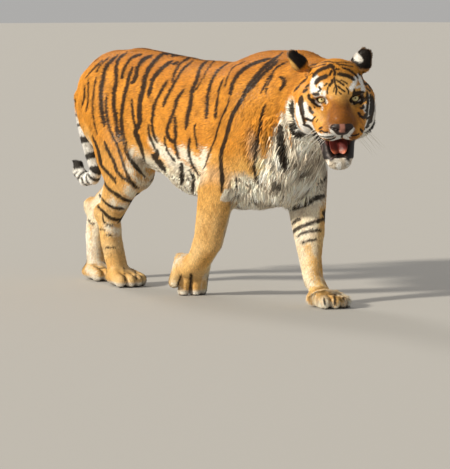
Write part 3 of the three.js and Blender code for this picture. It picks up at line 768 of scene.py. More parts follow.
headStripesAndShade = [
    (3.2, (293.8, 126), (295.6, 130.4), (298.8, 134.4)),
    (2.8, (301.6, 136.2), (306, 137.4), (310.6, 136.8)),
    (1.1, (308.3, 67), (312, 65.5), (319.3, 63.7), (328.1, 61.8), (334, 62.9), (342.8, 62.6), (352.3, 63.7)),
    (1.2, (307.6, 69.5), (314.2, 67.7), (320.8, 65.5), (326.7, 64.4)),
    (1.2, (336.9, 64.5), (344.3, 65.3), (353.1, 67)),
    (3.4, (328.9, 65.5), (331.8, 66.2), (333.4, 68.1)),
    (2.8, (313.8, 75.8), (315.7, 73.2), (319.3, 70.6), (324.5, 68.4), (328.9, 67.3)),
    (3.3, (316, 82.8), (319.2, 79.6), (323.5, 77.5), (326.6, 75.8)),
    (1.7, (329.4, 76), (330.7, 73.7), (332.1, 69.9)),
    (2, (333, 67.5), (334, 70), (335, 72.9), (334.4, 76)),
    (1.5, (334.3, 76.5), (334.5, 80.5), (335.5, 84.8), (336.5, 89.5), (335.8, 95)),
    (1.8, (342.2, 67.7), (349.1, 70.4), (354.2, 74), (358.5, 78.4)),
    (1.4, (335.5, 69.2), (339.5, 69.4)),
    (2.8, (338, 74), (343.1, 74.9), (348.2, 76.2), (353.8, 79.6)),
    (1.5, (335.9, 79.6), (340.3, 82.7), (344.3, 85.8)),
    (1.2, (340.3, 80.2), (344.5, 82.2), (348.4, 84.8)),
    (1.4, (337.2, 85.6), (340.5, 88.8), (345.2, 92.2)),
    (1.1, (338.6, 91.8), (341.8, 95)),
    (1.9, (332.9, 79.6), (331.4, 83.2), (329, 87)),
    (1.2, (328.3, 87.4), (327.4, 91), (327.3, 94.6)),
    (1.4, (327.7, 83.3), (324.1, 86.2)),
    (1, (334.6, 87), (333.4, 92.6)),
    (1.1, (346, 87.6), (348.2, 90.6), (348.4, 95)),
    (0.9, (306.5, 73.6), (305.6, 76.5), (309.2, 75.8), (312.9, 72.8)),
    (1.5, (294.4, 91.2), (299.5, 85.7), (303.9, 81.3), (308.3, 77)),
    (3.4, (307.6, 85.7), (307.3, 86.8)),
    (3.4, (305.8, 89.7), (305, 91.5)),
    (2.1, (308.7, 94.5), (309.7, 98.9), (314.6, 101.2)),
    (2.2, (312.7, 93.9), (316, 94.3), (319.3, 94.2)),
    (1.5, (318.8, 86.4), (320.7, 89.9), (317.3, 92.3)),
    (1.8, (311.4, 101.4), (314.2, 103.4), (317.3, 105.6), (320.1, 106.9)),
    (2.1, (309.7, 106.9), (310.7, 110.6), (313.6, 113.5)),
    (1, (314.2, 106.2), (315.3, 108.6)),
    (4.4, (300.3, 98.1), (300.7, 103.3)),
    (3.2, (300.7, 103.3), (301.6, 109.1), (302.6, 114.3)),
    (2.2, (302.6, 114.3), (303.6, 118.7), (304.7, 123.2)),
    (1.8, (303.2, 124.5), (309.1, 126.4), (312.7, 130.4), (315.7, 133.7)),
    (1.9, (305.6, 118.3), (309.1, 119.8), (312.4, 121)),
    (1.3, (312.4, 121), (313.3, 118.7), (315.8, 116.6)),
    (1.9, (293.1, 100.3), (292.3, 107.7), (293.3, 118.7), (294.5, 126)),
    (2.9, (294.5, 126), (297.3, 133.4), (302.5, 137.6)),
    (1.9, (302.5, 137.6), (307.6, 137), (312.7, 137.8)),
    (0.9, (316, 122.3), (318.8, 118.7)),
    (1.6, (318.8, 129), (323, 126.9)),
    (1.3, (319.5, 132.3), (321.5, 130.6), (325.2, 132.3), (328.7, 132.3)),
    (1, (318.8, 135.6), (324.5, 136.7), (331.1, 136.6), (334.4, 135.8)),
    (0.9, (319.7, 137.9), (323.7, 139.6), (329.6, 139.6), (335.5, 137.9)),
    (1.5, (342, 132), (341.8, 136.3), (341.6, 139.8)),
    (3, (341.6, 139.6), (341.6, 141.5)),
    # dark round the far eye: its markings, partly painted shade on the face's shaded side
    (3.1, (349.8, 101.1), (352.3, 96.8), (356.4, 94.5), (360.8, 92.3)),
    (2.6, (360.6, 94.5), (362.6, 99.6), (360.6, 104)),
    (1.8, (353.2, 104.2), (357.5, 102.9), (363.4, 101.1)),
    (2.1, (359.7, 108.8), (362.8, 107.7), (363.5, 105.5)),
    (2.1, (358.4, 112.8), (360.6, 116.5), (363.4, 117.4), (366.3, 114.3)),
    (1.9, (367, 91.5), (367.9, 100.3), (367.2, 107.7), (366.4, 115.7), (364.1, 119)),
    (2.5, (370.5, 94.5), (371.3, 104), (370.7, 111.3), (369.8, 118.7), (367, 126), (364.8, 128.4)),
    (1.9, (358.2, 73.2), (361.9, 76.9), (365.6, 81.3), (368.5, 85.7), (370.2, 91.5)),
    (2.1, (359.7, 129), (362.8, 131.9)),
    (1.2, (350.9, 135.6), (356, 135), (359.7, 133.4)),
    (1.2, (352.3, 139.2), (357.1, 139.6)),
]
lipEdgeHighlights = [  # painted highlight along the edge of the dark lower lip
    (1.2, (322.2, 145.5), (322.2, 155), (322.9, 160), (325, 161.6), (329, 160), (333.3, 157.2), (337, 155.4)),
    (1, (325.8, 145), (326.4, 150), (328, 155), (329.5, 158)),
    (0.9, (344, 156), (348.5, 157.5)),
]
whitePatches = [  # brows, cheeks, muzzle, chin
    (4.3, (315.3, 78.3), (313.5, 82.7), (312.9, 87.1), (313.6, 91.5)),
    (4.4, (319.3, 85.3), (321.5, 85.7)),
    (3.2, (316.4, 89.3), (320.8, 91.5)),
    (1.5, (314.2, 96.7), (319.3, 95.4), (323, 95.9)),
    (2.2, (324.5, 91.5), (323.9, 95.2), (325.4, 99.6), (327, 103.3)),
    (1.6, (314.6, 100), (317.3, 103.4), (321.2, 104.9)),
    (1, (322.3, 106.9), (322.3, 110.6)),
    (3.4, (296.5, 105.5), (297.6, 114.3), (299.4, 121.6)),
    (4.4, (304.4, 104), (305, 110.6), (307.6, 115.7), (312, 118.1)),
    (4.1, (308.7, 123.2), (312, 128.2)),
    (4.5, (295.9, 122.3), (300.3, 128.2), (304.7, 132.6), (311.3, 134.8)),
    (4.4, (300.2, 125.2), (303.6, 128.2), (307.2, 130.2)),
    (2.4, (331.3, 129.6), (333, 132.8), (336, 135), (339, 136)),
    (1.9, (315.8, 132.3), (316.6, 137), (321.2, 140.7), (328.1, 141.6), (335.5, 139.2)),
    (1.3, (321.5, 134.1), (329.6, 134.2)),
    (2.5, (353.2, 128.2), (350.3, 131.9), (346.1, 134.1)),
    (3.7, (344.6, 135.9), (347.6, 139.2), (350.9, 141.1)),
    (3.4, (356.4, 77.6), (354, 84.2), (350.9, 89.3)),
    (1.6, (356, 87.9), (362.6, 85.3)),
    (1, (352, 104), (356.4, 102), (360.1, 100)),
    (2.9, (364.8, 105.5), (365.4, 111.3)),
    (2.2, (368.9, 95.2), (369.1, 104), (368.5, 112.8)),
    (4.4, (317.9, 139.2), (325.2, 141.3), (334, 140), (339.9, 136.3)),
    (3.4, (318, 134), (324, 136.4), (333, 135.6)),
    (10, (327, 165), (337, 163.5), (346, 165)),
]
palePatches = [  # belly, chest, the fronts of knee and hock
    (9, (131, 150), (134, 160), (140, 168), (146, 175)),
    (6, (127, 166), (133, 175.5), (141, 184)),
    (9, (129, 188.5), (133, 196)),
    (7, (121, 207), (127, 206)),
    (9, (108.5, 227), (118, 231.5)),
    (14, (152, 142), (163, 152), (175, 162), (190, 174)),
    (12, (181, 151), (190, 158), (199, 163)),
    (8, (205, 152), (203, 166)),
    (14, (293, 104), (287, 122), (280, 142), (272, 163), (258, 186)),
    (26, (300, 135), (292, 165), (270, 196)),
    (34, (322, 158), (312, 195)),
    (22, (250, 200), (275, 206), (300, 205)),
    (8, (289, 112), (288, 150), (292, 200)),
    # the right foreleg's rear edge: pale hair, partly a painted highlight where the light catches it
    (4, (197, 198), (193.5, 236), (186.5, 251.5), (172.5, 265)),
    (6, (178.5, 292.5), (181, 292.5)),
    (5, (173, 284), (175, 287)),
    (5, (205.5, 274.5), (206.5, 278)),
    (7, (312, 305), (322, 306), (331, 306)),
    (7, (336, 303), (346, 303)),
    (8, (318, 276), (322, 284)),
    (7, (86, 222), (87, 240), (89.5, 262)),
    (6, (91, 240), (93.5, 262)),
    (6, (86, 268), (94, 276)),
]
goldPatches = [  # golden on the left foreleg and its paw
    (9, (314, 258), (316, 272), (320, 286)),
    (10, (318, 294), (330, 296), (340, 299)),
    (8, (309.5, 299), (311, 292), (318, 289), (328, 288.5), (338, 291), (346, 295)),
    (4, (306, 245), (311, 262), (313, 280)),
]
brownAndShadePatches = [  # warm brown down the front of the left foreleg, partly painted shade on its side away from the light
    (6, (326, 202), (326, 240), (326, 262), (328, 286)),
    (6, (322.5, 252), (324, 268), (327, 280), (331, 286)),
]
tailRings = {  # along the tail from its root, millimetres
    "white": 150, "whiteFade": 30, "edge": 2, "uneven": 5,
    "dark": ((98, 104), (150, 156), (188, 197), (236, 258), (299, 324), (354, 374), (392, 406), (421, 432),
             (446, 457), (470, 481), (494, 503), (517, 560)),
}
pelt = {  # colours of the coat and the bare skin
    "orange": (0.64, 0.262, 0.033), "back": (0.46, 0.17, 0.022), "gold": (0.84, 0.48, 0.14),
    "pale": (0.94, 0.84, 0.68), "white": (0.97, 0.94, 0.87), "dark": (0.014, 0.010, 0.008),
    "grey": (0.17, 0.125, 0.09), "rust": (0.33, 0.115, 0.023), "cream": (0.92, 0.66, 0.34),
    # bridge is the nose bridge's brown, darkened further as painted shade
    # rim is the colour of the painted highlight on the lower lip's edge
    "bridge": (0.22, 0.074, 0.013), "chin": (0.66, 0.58, 0.47), "rim": (0.20, 0.145, 0.14),
    "nose": (0.42, 0.18, 0.13), "noseEdge": (0.03, 0.016, 0.013),
    "lip": (0.018, 0.012, 0.011), "gum": (0.10, 0.025, 0.02), "lid": (0.015, 0.010, 0.008),
    "pad": (0.06, 0.035, 0.03), "earInside": (0.55, 0.45, 0.36),
}
shades = {  # how much tufts differ in brightness
    "variation": 0.34, "single": 0.6, "drifting": 0.5,  # from tuft to tuft, and from place to place
    # clumpShading: painted shade between the clumps of long hair, and painted light on them
    "shagVariation": 0.14, "shagDarker": 0.1, "grain": 0.13, "clumpShading": 0.85, "clumpsLighter": 0.05,
    "range": (0.15, 1.3),
    "under": 0.75, "underLong": 0.34,  # painted shade: how dark the skin is made under short hair and under long hair
}
fades = {  # where each colour starts and where it is whole
    # by height on the trunk, 0 at its underside and 1 at its top
    "back": (0.72, 1.0), "goldFlank": (0.42, 0.16), "paleBelly": (0.14, 0.02), "streaks": (0.1, 0.4),
    "ridge": (0.93, 0.97),
    # by the way the surface faces
    "inner": (-0.1, -0.6), "outer": (-0.2, 0.3), "front": (0.45, 0.75), "under": (-0.35, -0.8),
    # by place in the body's frame, millimetres
    "goldLeg": (560, 330), "innerTop": (560, 500), "creamLeg": (430, 180), "whiteToes": (26, 12),
    "underTop": (330, 380), "sole": (5, 3), "ridgeFront": (470, 400), "ridgeBack": (-520, -480),
    "ridgeSides": (9, 4),
    # by place in the head's frame, millimetres
    "paleRuff": (10, -60), "paleJaw": (-96, -122), "jawBack": (60, -20), "whiteMuzzle": (-86, -98),
    "behindEar": (4, -6), "earTip": (-20, -10), "earRim": (13, 19), "rimSide": (0, -5), "earSpot": (17, 12),
    "bridgeWide": (4, -46), "bridgeBack": (4, 30), "bridgeTop": (34, -4), "bridgeEnd": (-116, -100),
    "chin": (-128, -142), "lipArea": (-108, -116), "lip": (7, 3), "gum": (1.5, -1), "lid": (3, 5),
    "leather": (4, 2.5), "pinkSides": (12, 5), "pinkBelow": (-78, -70),
    # by a wandering value, about -1 to 1
    "faint": (0.1, 1.1), "fleck": (0.25, 1.1), "golden": (-0.9, 0.4), "chinMix": (-0.9, 0.5),
    "chinSpots": (0.35, 0.9), "ridgeGaps": (-0.5, 0.1),
}
softEdges = {  # millimetres over which a marking fades
    "dark": 2.6, "pale": 22, "gold": 22, "grey": 26, "rust": 14, "white": 5, "rim": 1.5,
}
strengths = {  # how fully each colour covers the one below it
    "goldFlank": 0.8, "goldLeg": 0.75, "goldPaw": 0.5, "cream": 0.42, "creamSpread": 0.3, "whiteToes": 0.8,
    "chest": 0.95, "ruff": 0.9, "bridge": 0.9, "faceFleck": 0.55, "legFleck": 0.3, "golden": 0.7,
    "faint": 0.32, "goldPatches": 0.9, "paintedShadePatches": 0.75, "brownAndShadePatches": 0.8, "chinSpots": 0.6,
    "dark": 0.96, "rim": 0.8,
}
ripples = {  # the size of each wandering value in millimetres, and its seed
    "wander": (90, 3), "tailRings": (40, 5), "ridge": (120, 9), "ridgeGaps": (60, 11), "pink": (14, 17),
    "sweep": (70, 21), "curl": (26, 23), "tone": (30, 31), "clumpShading": (21, 33), "grain": (11, 35),
    "fleck": (9, 41), "broadFleck": (26, 43), "golden": (30, 45), "bridge": (30, 47), "chin": (14, 51),
    "cream": (42, 53), "faint": (19, 55), "chinSpots": (7, 57),
}
spotShape = {"aside": 18, "up": 12, "wide": 0.6, "high": 1.3}  # the white spot behind each ear
bridgeShape = {"half": 32, "widening": 20, "edge": 11}  # the brown bridge of the nose, partly painted shade, millimetres
stroke = {  # how a marking is laid on the skin
    "step": 1.2,  # pixels between the places on its line
    "spread": {"flank": 1.15, "hindLeg": 1.1, "foreLeg": 1.15, "headDark": 1.5, "headWhite": 1.45},
    "endWidth": 0.5, "taper": 6,
    "longestGap": 0.06, "rowEvery": 0.003, "leastSeen": 0.28,  # metres, and how much of its width is seen
    "drift": 16, "sway": 6, "swaySize": 9, "swayLength": 60, "widthSpread": (0.8, 1.15),  # of the hidden side
    "cheekFrom": 74,  # millimetres off the head's middle
    "ragged": 0.35,  # how uneven its edge is
}


def smoothLine(points):
    # a smooth curve through the points
    points = np.array(points, float)
    ends = np.vstack([2 * points[0] - points[1], points, 2 * points[-1] - points[-2]])
    line = []
    for a, b, c, d in zip(ends, ends[1:], ends[2:], ends[3:]):
        count = max(2, int(np.linalg.norm(c - b) / stroke["step"]) + 1)
        t = np.arange(count)[:, None] / count
        line.append(b + t * (c - a) / 2 + t ** 2 * (a - 2.5 * b + 2 * c - d / 2)
                    + t ** 3 * (1.5 * (b - c) + (d - a) / 2))
    return np.vstack([*line, points[-1:]])


def rayThrough(u, v):  # from the camera through a pixel
    wide, high = viewpoint["frame"]
    return -back + right * ((u - wide / 2) / focal) - up * ((v - high / 2) / focal)


def onSkin(tree, lines, spread=1.0):
    # the lines as points on the skin in millimetres, each with its half width
    laid = []
    for width, *points in lines:
        line = smoothLine(points)
        rays = [rayThrough(u, v) for u, v in line]
        places, normals, last = [], [], viewpoint["distance"]
        for ray in rays:
            hit, normal, _, distance = tree.ray_cast(eyePoint, ray.normalized())
            if hit is None:
                hit, normal, _, _ = tree.find_nearest(eyePoint + ray * last)
            else:
                last = distance / ray.length
            places.append(hit)
            normals.append(normal)
        share = np.linspace(0, 1, len(line))
        taper = np.minimum(1, stroke["endWidth"] + np.minimum(share, 1 - share) * stroke["taper"])
        laid.append(strokeRows(places, normals, width * spread * taper))
    return laid


def strokeRows(places, normals, widths):
    rows = []
    for i in range(len(places) - 1):
        start, end = places[i], places[i + 1]
        gap = (end - start).length
        if gap > stroke["longestGap"] or gap < 1e-6:
            continue
        side = normals[i].cross(end - start).normalized()
        seen = max((1 - side.dot(back) ** 2) ** 0.5, stroke["leastSeen"])
        scale = (start - eyePoint).length * 1000 / focal / seen
        count = max(1, round(gap / stroke["rowEvery"]))
        for k in range(count):
            rows.append((*toMillimetres(start.lerp(end, k / count)), widths[i] * scale / 2))
    return np.array(rows, np.float32).reshape(-1, 4)


def snap(tree, rows):
    # puts moved points back on to the skin
    out = rows.copy()
    for row in out:
        row[:3] = toMillimetres(tree.find_nearest(Vector(toMetres(row[:3])))[0])
    return out


def toOtherSide(tree, laid):
    # the same markings on the hidden side, a little different
    copies = []
    for rows in laid:
        if len(rows) == 0:
            continue
        moved = rows.copy()
        drift, sway = dice.uniform(-stroke["drift"], stroke["drift"]), dice.uniform(0, stroke["sway"])
        moved[:, 1] *= -1
        moved[:, 0] += drift + stroke["swaySize"] * np.sin(moved[:, 2] / stroke["swayLength"] + sway)
        moved[:, 3] *= dice.uniform(*stroke["widthSpread"])
        copies.append(snap(tree, moved))
    return copies


def toOtherLeg(tree, laid, source, target):
    # carries markings from one leg to the matching place on the other
    start, end = np.array(legs[source], float), np.array(legs[target], float)
    copies = []
    for rows in laid:
        moved = rows.copy()
        for row in moved:
            best = None
            for i in range(len(start) - 1):
                along = start[i + 1, :3] - start[i, :3]
                t = min(1, max(0, (row[:3] - start[i, :3]) @ along / (along @ along)))
                out = row[:3] - start[i, :3] - t * along
                if best is None or out @ out < best[0]:
                    best = (out @ out, i, t, out)
            _, i, t, out = best
            row[:3] = end[i, :3] + t * (end[i + 1, :3] - end[i, :3]) + out * (1, -1, 1)
        copies.append(snap(tree, moved))
    return copies


def toOtherCheek(tree, laid):
    # the outer part of the right cheek's markings on the left cheek, turned over in the head's own frame
    copies = []
    turned = np.array(headMatrix, np.float32)
    for rows in laid:
        rows = rows[inHead(rows[:, :3])[:, 1] < -stroke["cheekFrom"]]
        if len(rows):
            moved = rows.copy()
            moved[:, :3] = (inHead(rows[:, :3]) * (1, -1, 1)) @ turned[:3, :3].T + turned[:3, 3]
            copies.append(snap(tree, moved))
    return copies


def markTree(laid):
    rows = np.vstack([rows for rows in laid if len(rows)])
    tree = KDTree(len(rows))
    for i, row in enumerate(rows):
        tree.insert(row[:3], i)
    tree.balance()
    return tree, rows[:, 3].tolist()


def cover(marks, points, soft):
    # 1 where a marking lies, 0 off it, and between over the soft edge in millimetres
    tree, half = marks
    outside = np.empty(len(points), np.float32)
    find = tree.find_n
    for i, point in enumerate(points.tolist()):
        outside[i] = min(distance - half[index] for _, index, distance in find(point, 3))
    outside = (outside + dice.normal(0, stroke["ragged"], len(points)) * soft) / soft
    return ramp(outside, 0.5, -0.5)


def ripple(p, name):
    # a smooth wandering value from about -1 to 1
    size, seed = ripples[name]
    own = np.random.default_rng(seed)
    total = np.zeros(len(p))
    for _ in range(5):
        total += np.sin(p @ (own.normal(size=3) * 2.2 / size) + own.uniform(0, 2 * pi))
    return total / 3


def alongTail(p):
    # how far along the tail each point lies, and the tail's direction there
    path = np.array(body["tail"], float)[:, :3]
    length = np.concatenate([[0], np.cumsum(np.linalg.norm(np.diff(path, axis=0), axis=1))])
    best, place, way = np.full(len(p), np.inf), np.zeros(len(p)), np.zeros((len(p), 3))
    for i in range(len(path) - 1):
        along = path[i + 1] - path[i]
        size = np.linalg.norm(along)
        t = np.clip((p - path[i]) @ along / size ** 2, 0, 1)
        far = np.linalg.norm(p - path[i] - t[:, None] * along, axis=1)
        nearer = far < best
        best[nearer] = far[nearer]
        place[nearer] = (length[i] + t * size)[nearer]
        way[nearer] = along / size
    return place, way


def legSide(p, normal):
    # 1 on the outer side of the legs, -1 on the inner side
    return np.where(p[:, 1] > 0, normal[:, 1], -normal[:, 1])


def blendColour(colour, name, weight):
    colour += (np.array(pelt[name]) - colour) * np.clip(weight, 0, 1)[:, None]


def fade(value, name):
    return ramp(value, *fades[name])


def trunkColour(colour, p, normal, wander, zone):
    # the ground colours of the trunk and legs; returns the height on the trunk, from 0 to 1
    spine = np.array(body["spine"], float)
    top, bottom = (np.interp(np.maximum(p[:, 0], -380), spine[:, 0], spine[:, c]) for c in (1, 2))
    height = (p[:, 2] - bottom) / (top - bottom)
    offHead, offLeg = 1 - zone["head"], 1 - zone["leg"]
    blendColour(colour, "back", fade(height + 0.06 * wander, "back") * offHead * offLeg)
    blendColour(colour, "gold", fade(height + 0.08 * wander, "goldFlank") * offHead * strengths["goldFlank"])
    blendColour(colour, "pale", fade(height + 0.05 * wander, "paleBelly") * offHead * offLeg)
    outward = legSide(p, normal)
    inner = fade(outward + 0.15 * wander + 0.35 * (p[:, 0] < 0), "inner")
    blendColour(colour, "orange", zone["leg"] * fade(outward, "outer"))
    goldLeg = fade(p[:, 2] + 40 * wander, "goldLeg") * strengths["goldLeg"]
    blendColour(colour, "gold", zone["leg"] * goldLeg)
    blendColour(colour, "pale", zone["leg"] * inner * fade(p[:, 2], "innerTop"))
    blendColour(colour, "gold", zone["paw"] * strengths["goldPaw"] * (1 - inner))
    cream = strengths["cream"] + strengths["creamSpread"] * ripple(p, "cream")
    blendColour(colour, "cream", zone["leg"] * fade(p[:, 2], "creamLeg") * cream)
    blendColour(colour, "white", zone["paw"] * fade(p[:, 2], "whiteToes") * strengths["whiteToes"])
    front = zone["chest"] * fade(normal[:, 0] + 0.1 * wander, "front")
    blendColour(colour, "pale", np.maximum(front, zone["belly"]) * strengths["chest"])
    blendColour(colour, "pale", offHead * fade(normal[:, 2], "under") * fade(p[:, 2], "underTop"))
    return height


def headColour(colour, q, wander, zone):
    # the ground colours of the head and ears
    ruff = zone["ruff"] * fade(q[:, 2] + 14 * wander, "paleRuff")
    blendColour(colour, "pale", ruff * strengths["ruff"])
    blendColour(colour, "pale", zone["head"] * fade(q[:, 2], "paleJaw") * fade(q[:, 0], "jawBack"))
    blendColour(colour, "white", zone["face"] * fade(q[:, 2] + 0.25 * q[:, 0], "whiteMuzzle"))
    ear = inEar(q)
    behindEar = zone["ear"] * fade(ear[:, 0], "behindEar")
    blendColour(colour, "earInside", zone["ear"] * (1 - behindEar))
    blendColour(colour, "dark", behindEar * fade(ear[:, 2], "earTip"))
    blendColour(colour, "gold", zone["ear"] * fade(ear[:, 1], "earRim") * fade(q[:, 1], "rimSide"))
    aside, above = ear[:, 1] - spotShape["aside"], ear[:, 2] - spotShape["up"]
    spot = fade(np.hypot(aside * spotShape["wide"], above * spotShape["high"]), "earSpot") * (q[:, 1] > 0)
    blendColour(colour, "white", behindEar * spot)


def tailColour(colour, p, zone):
    # the tail's white ground; returns how dark its rings are
    place, _ = alongTail(p)
    start, soft = tailRings["white"], tailRings["whiteFade"]
    blendColour(colour, "white", zone["tail"] * ramp(place, start - soft, start + soft))
    ring = np.zeros(len(p))
    uneven = place + tailRings["uneven"] * ripple(p, "tailRings")
    edge = tailRings["edge"]
    for start, end in tailRings["dark"]:
        inside = ramp(uneven, start - edge, start + edge) * ramp(uneven, end + edge, end - edge)
        ring = np.maximum(ring, inside)
    return ring * zone["tail"]


def faceColour(colour, p, q, zone):
    # the brown bridge of the nose, darkened past its own brown as painted shade, with flecks and a golden
    # cast round it
    half = bridgeShape["half"] + bridgeShape["widening"] * fade(q[:, 2], "bridgeWide")
    edge = bridgeShape["edge"]
    bridge = ramp(np.abs(q[:, 1]) + 4 * ripple(p, "bridge"), half + edge, half - edge)
    bridge *= fade(q[:, 0], "bridgeBack") * fade(q[:, 2], "bridgeTop") * fade(q[:, 2], "bridgeEnd")
    blendColour(colour, "bridge", zone["face"] * bridge * strengths["bridge"])
    fleck = fade(ripple(p, "fleck") + 0.4 * ripple(p, "broadFleck"), "fleck")
    flecked = np.maximum(zone["face"] * strengths["faceFleck"], zone["leg"] * strengths["legFleck"])
    blendColour(colour, "rust", flecked * fleck)
    golden = fade(ripple(p, "golden"), "golden") * (1 - bridge) * (1 - zone["ear"])
    blendColour(colour, "gold", zone["face"] * (golden * strengths["golden"]))


def bareColour(colour, p, q, zone, rim):
    # lids, lips with a painted highlight on the lower lip's edge, gums, nose leather and the soles
    lipArea = fade(q[:, 2], "lipArea")
    blendColour(colour, "lid", zone["head"] * (1 - fade(zone["lid"], "lid")))
    lip = np.maximum(fade(zone["mouth"], "lip") * lipArea, zone["lipTop"])
    blendColour(colour, "lip", zone["head"] * lip)
    blendColour(colour, "gum", zone["head"] * fade(zone["mouth"], "gum") * lipArea)
    # painted highlight along the edge of the lower lip
    blendColour(colour, "rim", rim * zone["bare"] * strengths["rim"])
    leather = zone["head"] * fade(zone["nose"], "leather")
    blendColour(colour, "noseEdge", leather)
    pink = fade(np.abs(q[:, 1] + 1.5 * ripple(p, "pink")), "pinkSides") * fade(q[:, 2], "pinkBelow")
    blendColour(colour, "nose", leather * pink)
    blendColour(colour, "pad", zone["paw"] * fade(p[:, 2], "sole"))


def peltColour(p, normal, zone, marks):
    # the colour of the coat at points on the skin
    def laid(name, scale=1):
        return cover(marks[name], p, softEdges[name] * scale)

    q = zone["q"]
    wander = ripple(p, "wander")
    colour = np.tile(np.array(pelt["orange"]), (len(p), 1))
    height = trunkColour(colour, p, normal, wander, zone)
    headColour(colour, q, wander, zone)
    ring = tailColour(colour, p, zone)
    faint = fade(ripple(p * (1, 1, 0.3), "faint"), "faint")
    faint = faint * (1 - zone["head"]) * (1 - zone["leg"]) * (1 - zone["tail"])
    blendColour(colour, "rust", faint * fade(height, "streaks") * strengths["faint"])
    blendColour(colour, "pale", laid("pale") * (1 - zone["tail"]))
    blendColour(colour, "gold", laid("gold") * strengths["goldPatches"])
    # painted shade under the jaw and on the chest
    blendColour(colour, "grey", laid("grey") * strengths["paintedShadePatches"])
    faceColour(colour, p, q, zone)
    # warm brown and painted shade down the front of the left foreleg
    blendColour(colour, "rust", laid("rust") * (strengths["brownAndShadePatches"] + 0.2 * wander))
    ridge = fade(np.abs(p[:, 1] + 6 * ripple(p, "ridge")), "ridgeSides") * fade(height, "ridge")
    ridge *= fade(p[:, 0], "ridgeFront") * fade(p[:, 0], "ridgeBack") * (1 - zone["head"])
    ridge *= fade(ripple(p, "ridgeGaps"), "ridgeGaps")
    blendColour(colour, "white", laid("white"))
    chin = zone["face"] * fade(q[:, 2], "chin")
    blendColour(colour, "chin", chin * fade(ripple(p, "chin"), "chinMix"))
    blendColour(colour, "grey", chin * fade(ripple(p, "chinSpots"), "chinSpots") * strengths["chinSpots"])
    dark = np.maximum.reduce([laid("dark", 1 - 0.45 * zone["face"]), ring, ridge])
    blendColour(colour, "dark", dark * strengths["dark"] * (1 - zone["ear"]))
    bareColour(colour, p, q, zone, laid("rim"))
    return colour.astype(np.float32)


lie = {  # which way the hair runs, forward, left and up, and where each way holds in millimetres
    "trunk": (-1, 0, -0.28), "rump": (-0.75, 0, -0.75), "shoulder": (-0.5, 0, -0.85),
    "neck": (-0.85, 0, -0.5), "belly": (-0.6, 0, -0.8), "chest": (-0.3, 0, -1), "leg": (-0.2, 0, -1),
    "paw": (0.9, -0.06, -0.45),
    "rumpFrom": (-280, -400), "rumpTop": (830, 740), "shoulderFrom": (260, 360), "shoulderTop": (800, 700),
    "neckFrom": (470, 560), "pawTop": (110, 70),
    "noseTip": (108, 0, -48), "headBack": -0.35, "cheekDown": 0.5, "cheekTop": (-20, -90),
    "cheekFront": (40, -40),
}


def lieOf(p, zone):
    way = np.tile(np.array(lie["trunk"], float), (len(p), 1))

    def lean(direction, weight):
        direction = np.asarray(direction, float)
        direction = direction / np.linalg.norm(direction, axis=-1, keepdims=True)
        way[:] += (direction - way) * np.clip(weight, 0, 1)[:, None]

    x, z = p[:, 0], p[:, 2]
    lean(lie["rump"], ramp(x, *lie["rumpFrom"]) * ramp(z, *lie["rumpTop"]))
    lean(lie["shoulder"], ramp(x, *lie["shoulderFrom"]) * ramp(z, *lie["shoulderTop"]))
    lean(lie["neck"], ramp(x, *lie["neckFrom"]))
    for name in ("belly", "chest", "leg"):
        lean(lie[name], zone[name])
    lean(lie["paw"], zone["paw"] * ramp(z, *lie["pawTop"]))
    lean(alongTail(p)[1], zone["tail"])
    q = zone["q"]
    fromNose = q - np.array(lie["noseTip"])
    fromNose /= np.linalg.norm(fromNose, axis=1, keepdims=True)
    fromNose += np.array((lie["headBack"], 0, 0))
    fromNose[:, 2] -= lie["cheekDown"] * ramp(q[:, 2], *lie["cheekTop"]) * ramp(q[:, 0], *lie["cheekFront"])
    turned = np.array(headMatrix)[:3, :3].T
    lean(fromNose @ turned, zone["head"])
    earUp = {side: np.array(matrix)[:3, 2] for side, matrix in earMatrices.items()}
    lean(np.where(q[:, 1:2] > 0, earUp[1], earUp[-1]) @ turned, zone["ear"])
    return way


def rowsOf(vectors):
    return vectors / np.maximum(np.linalg.norm(vectors, axis=1, keepdims=True), 1e-9)


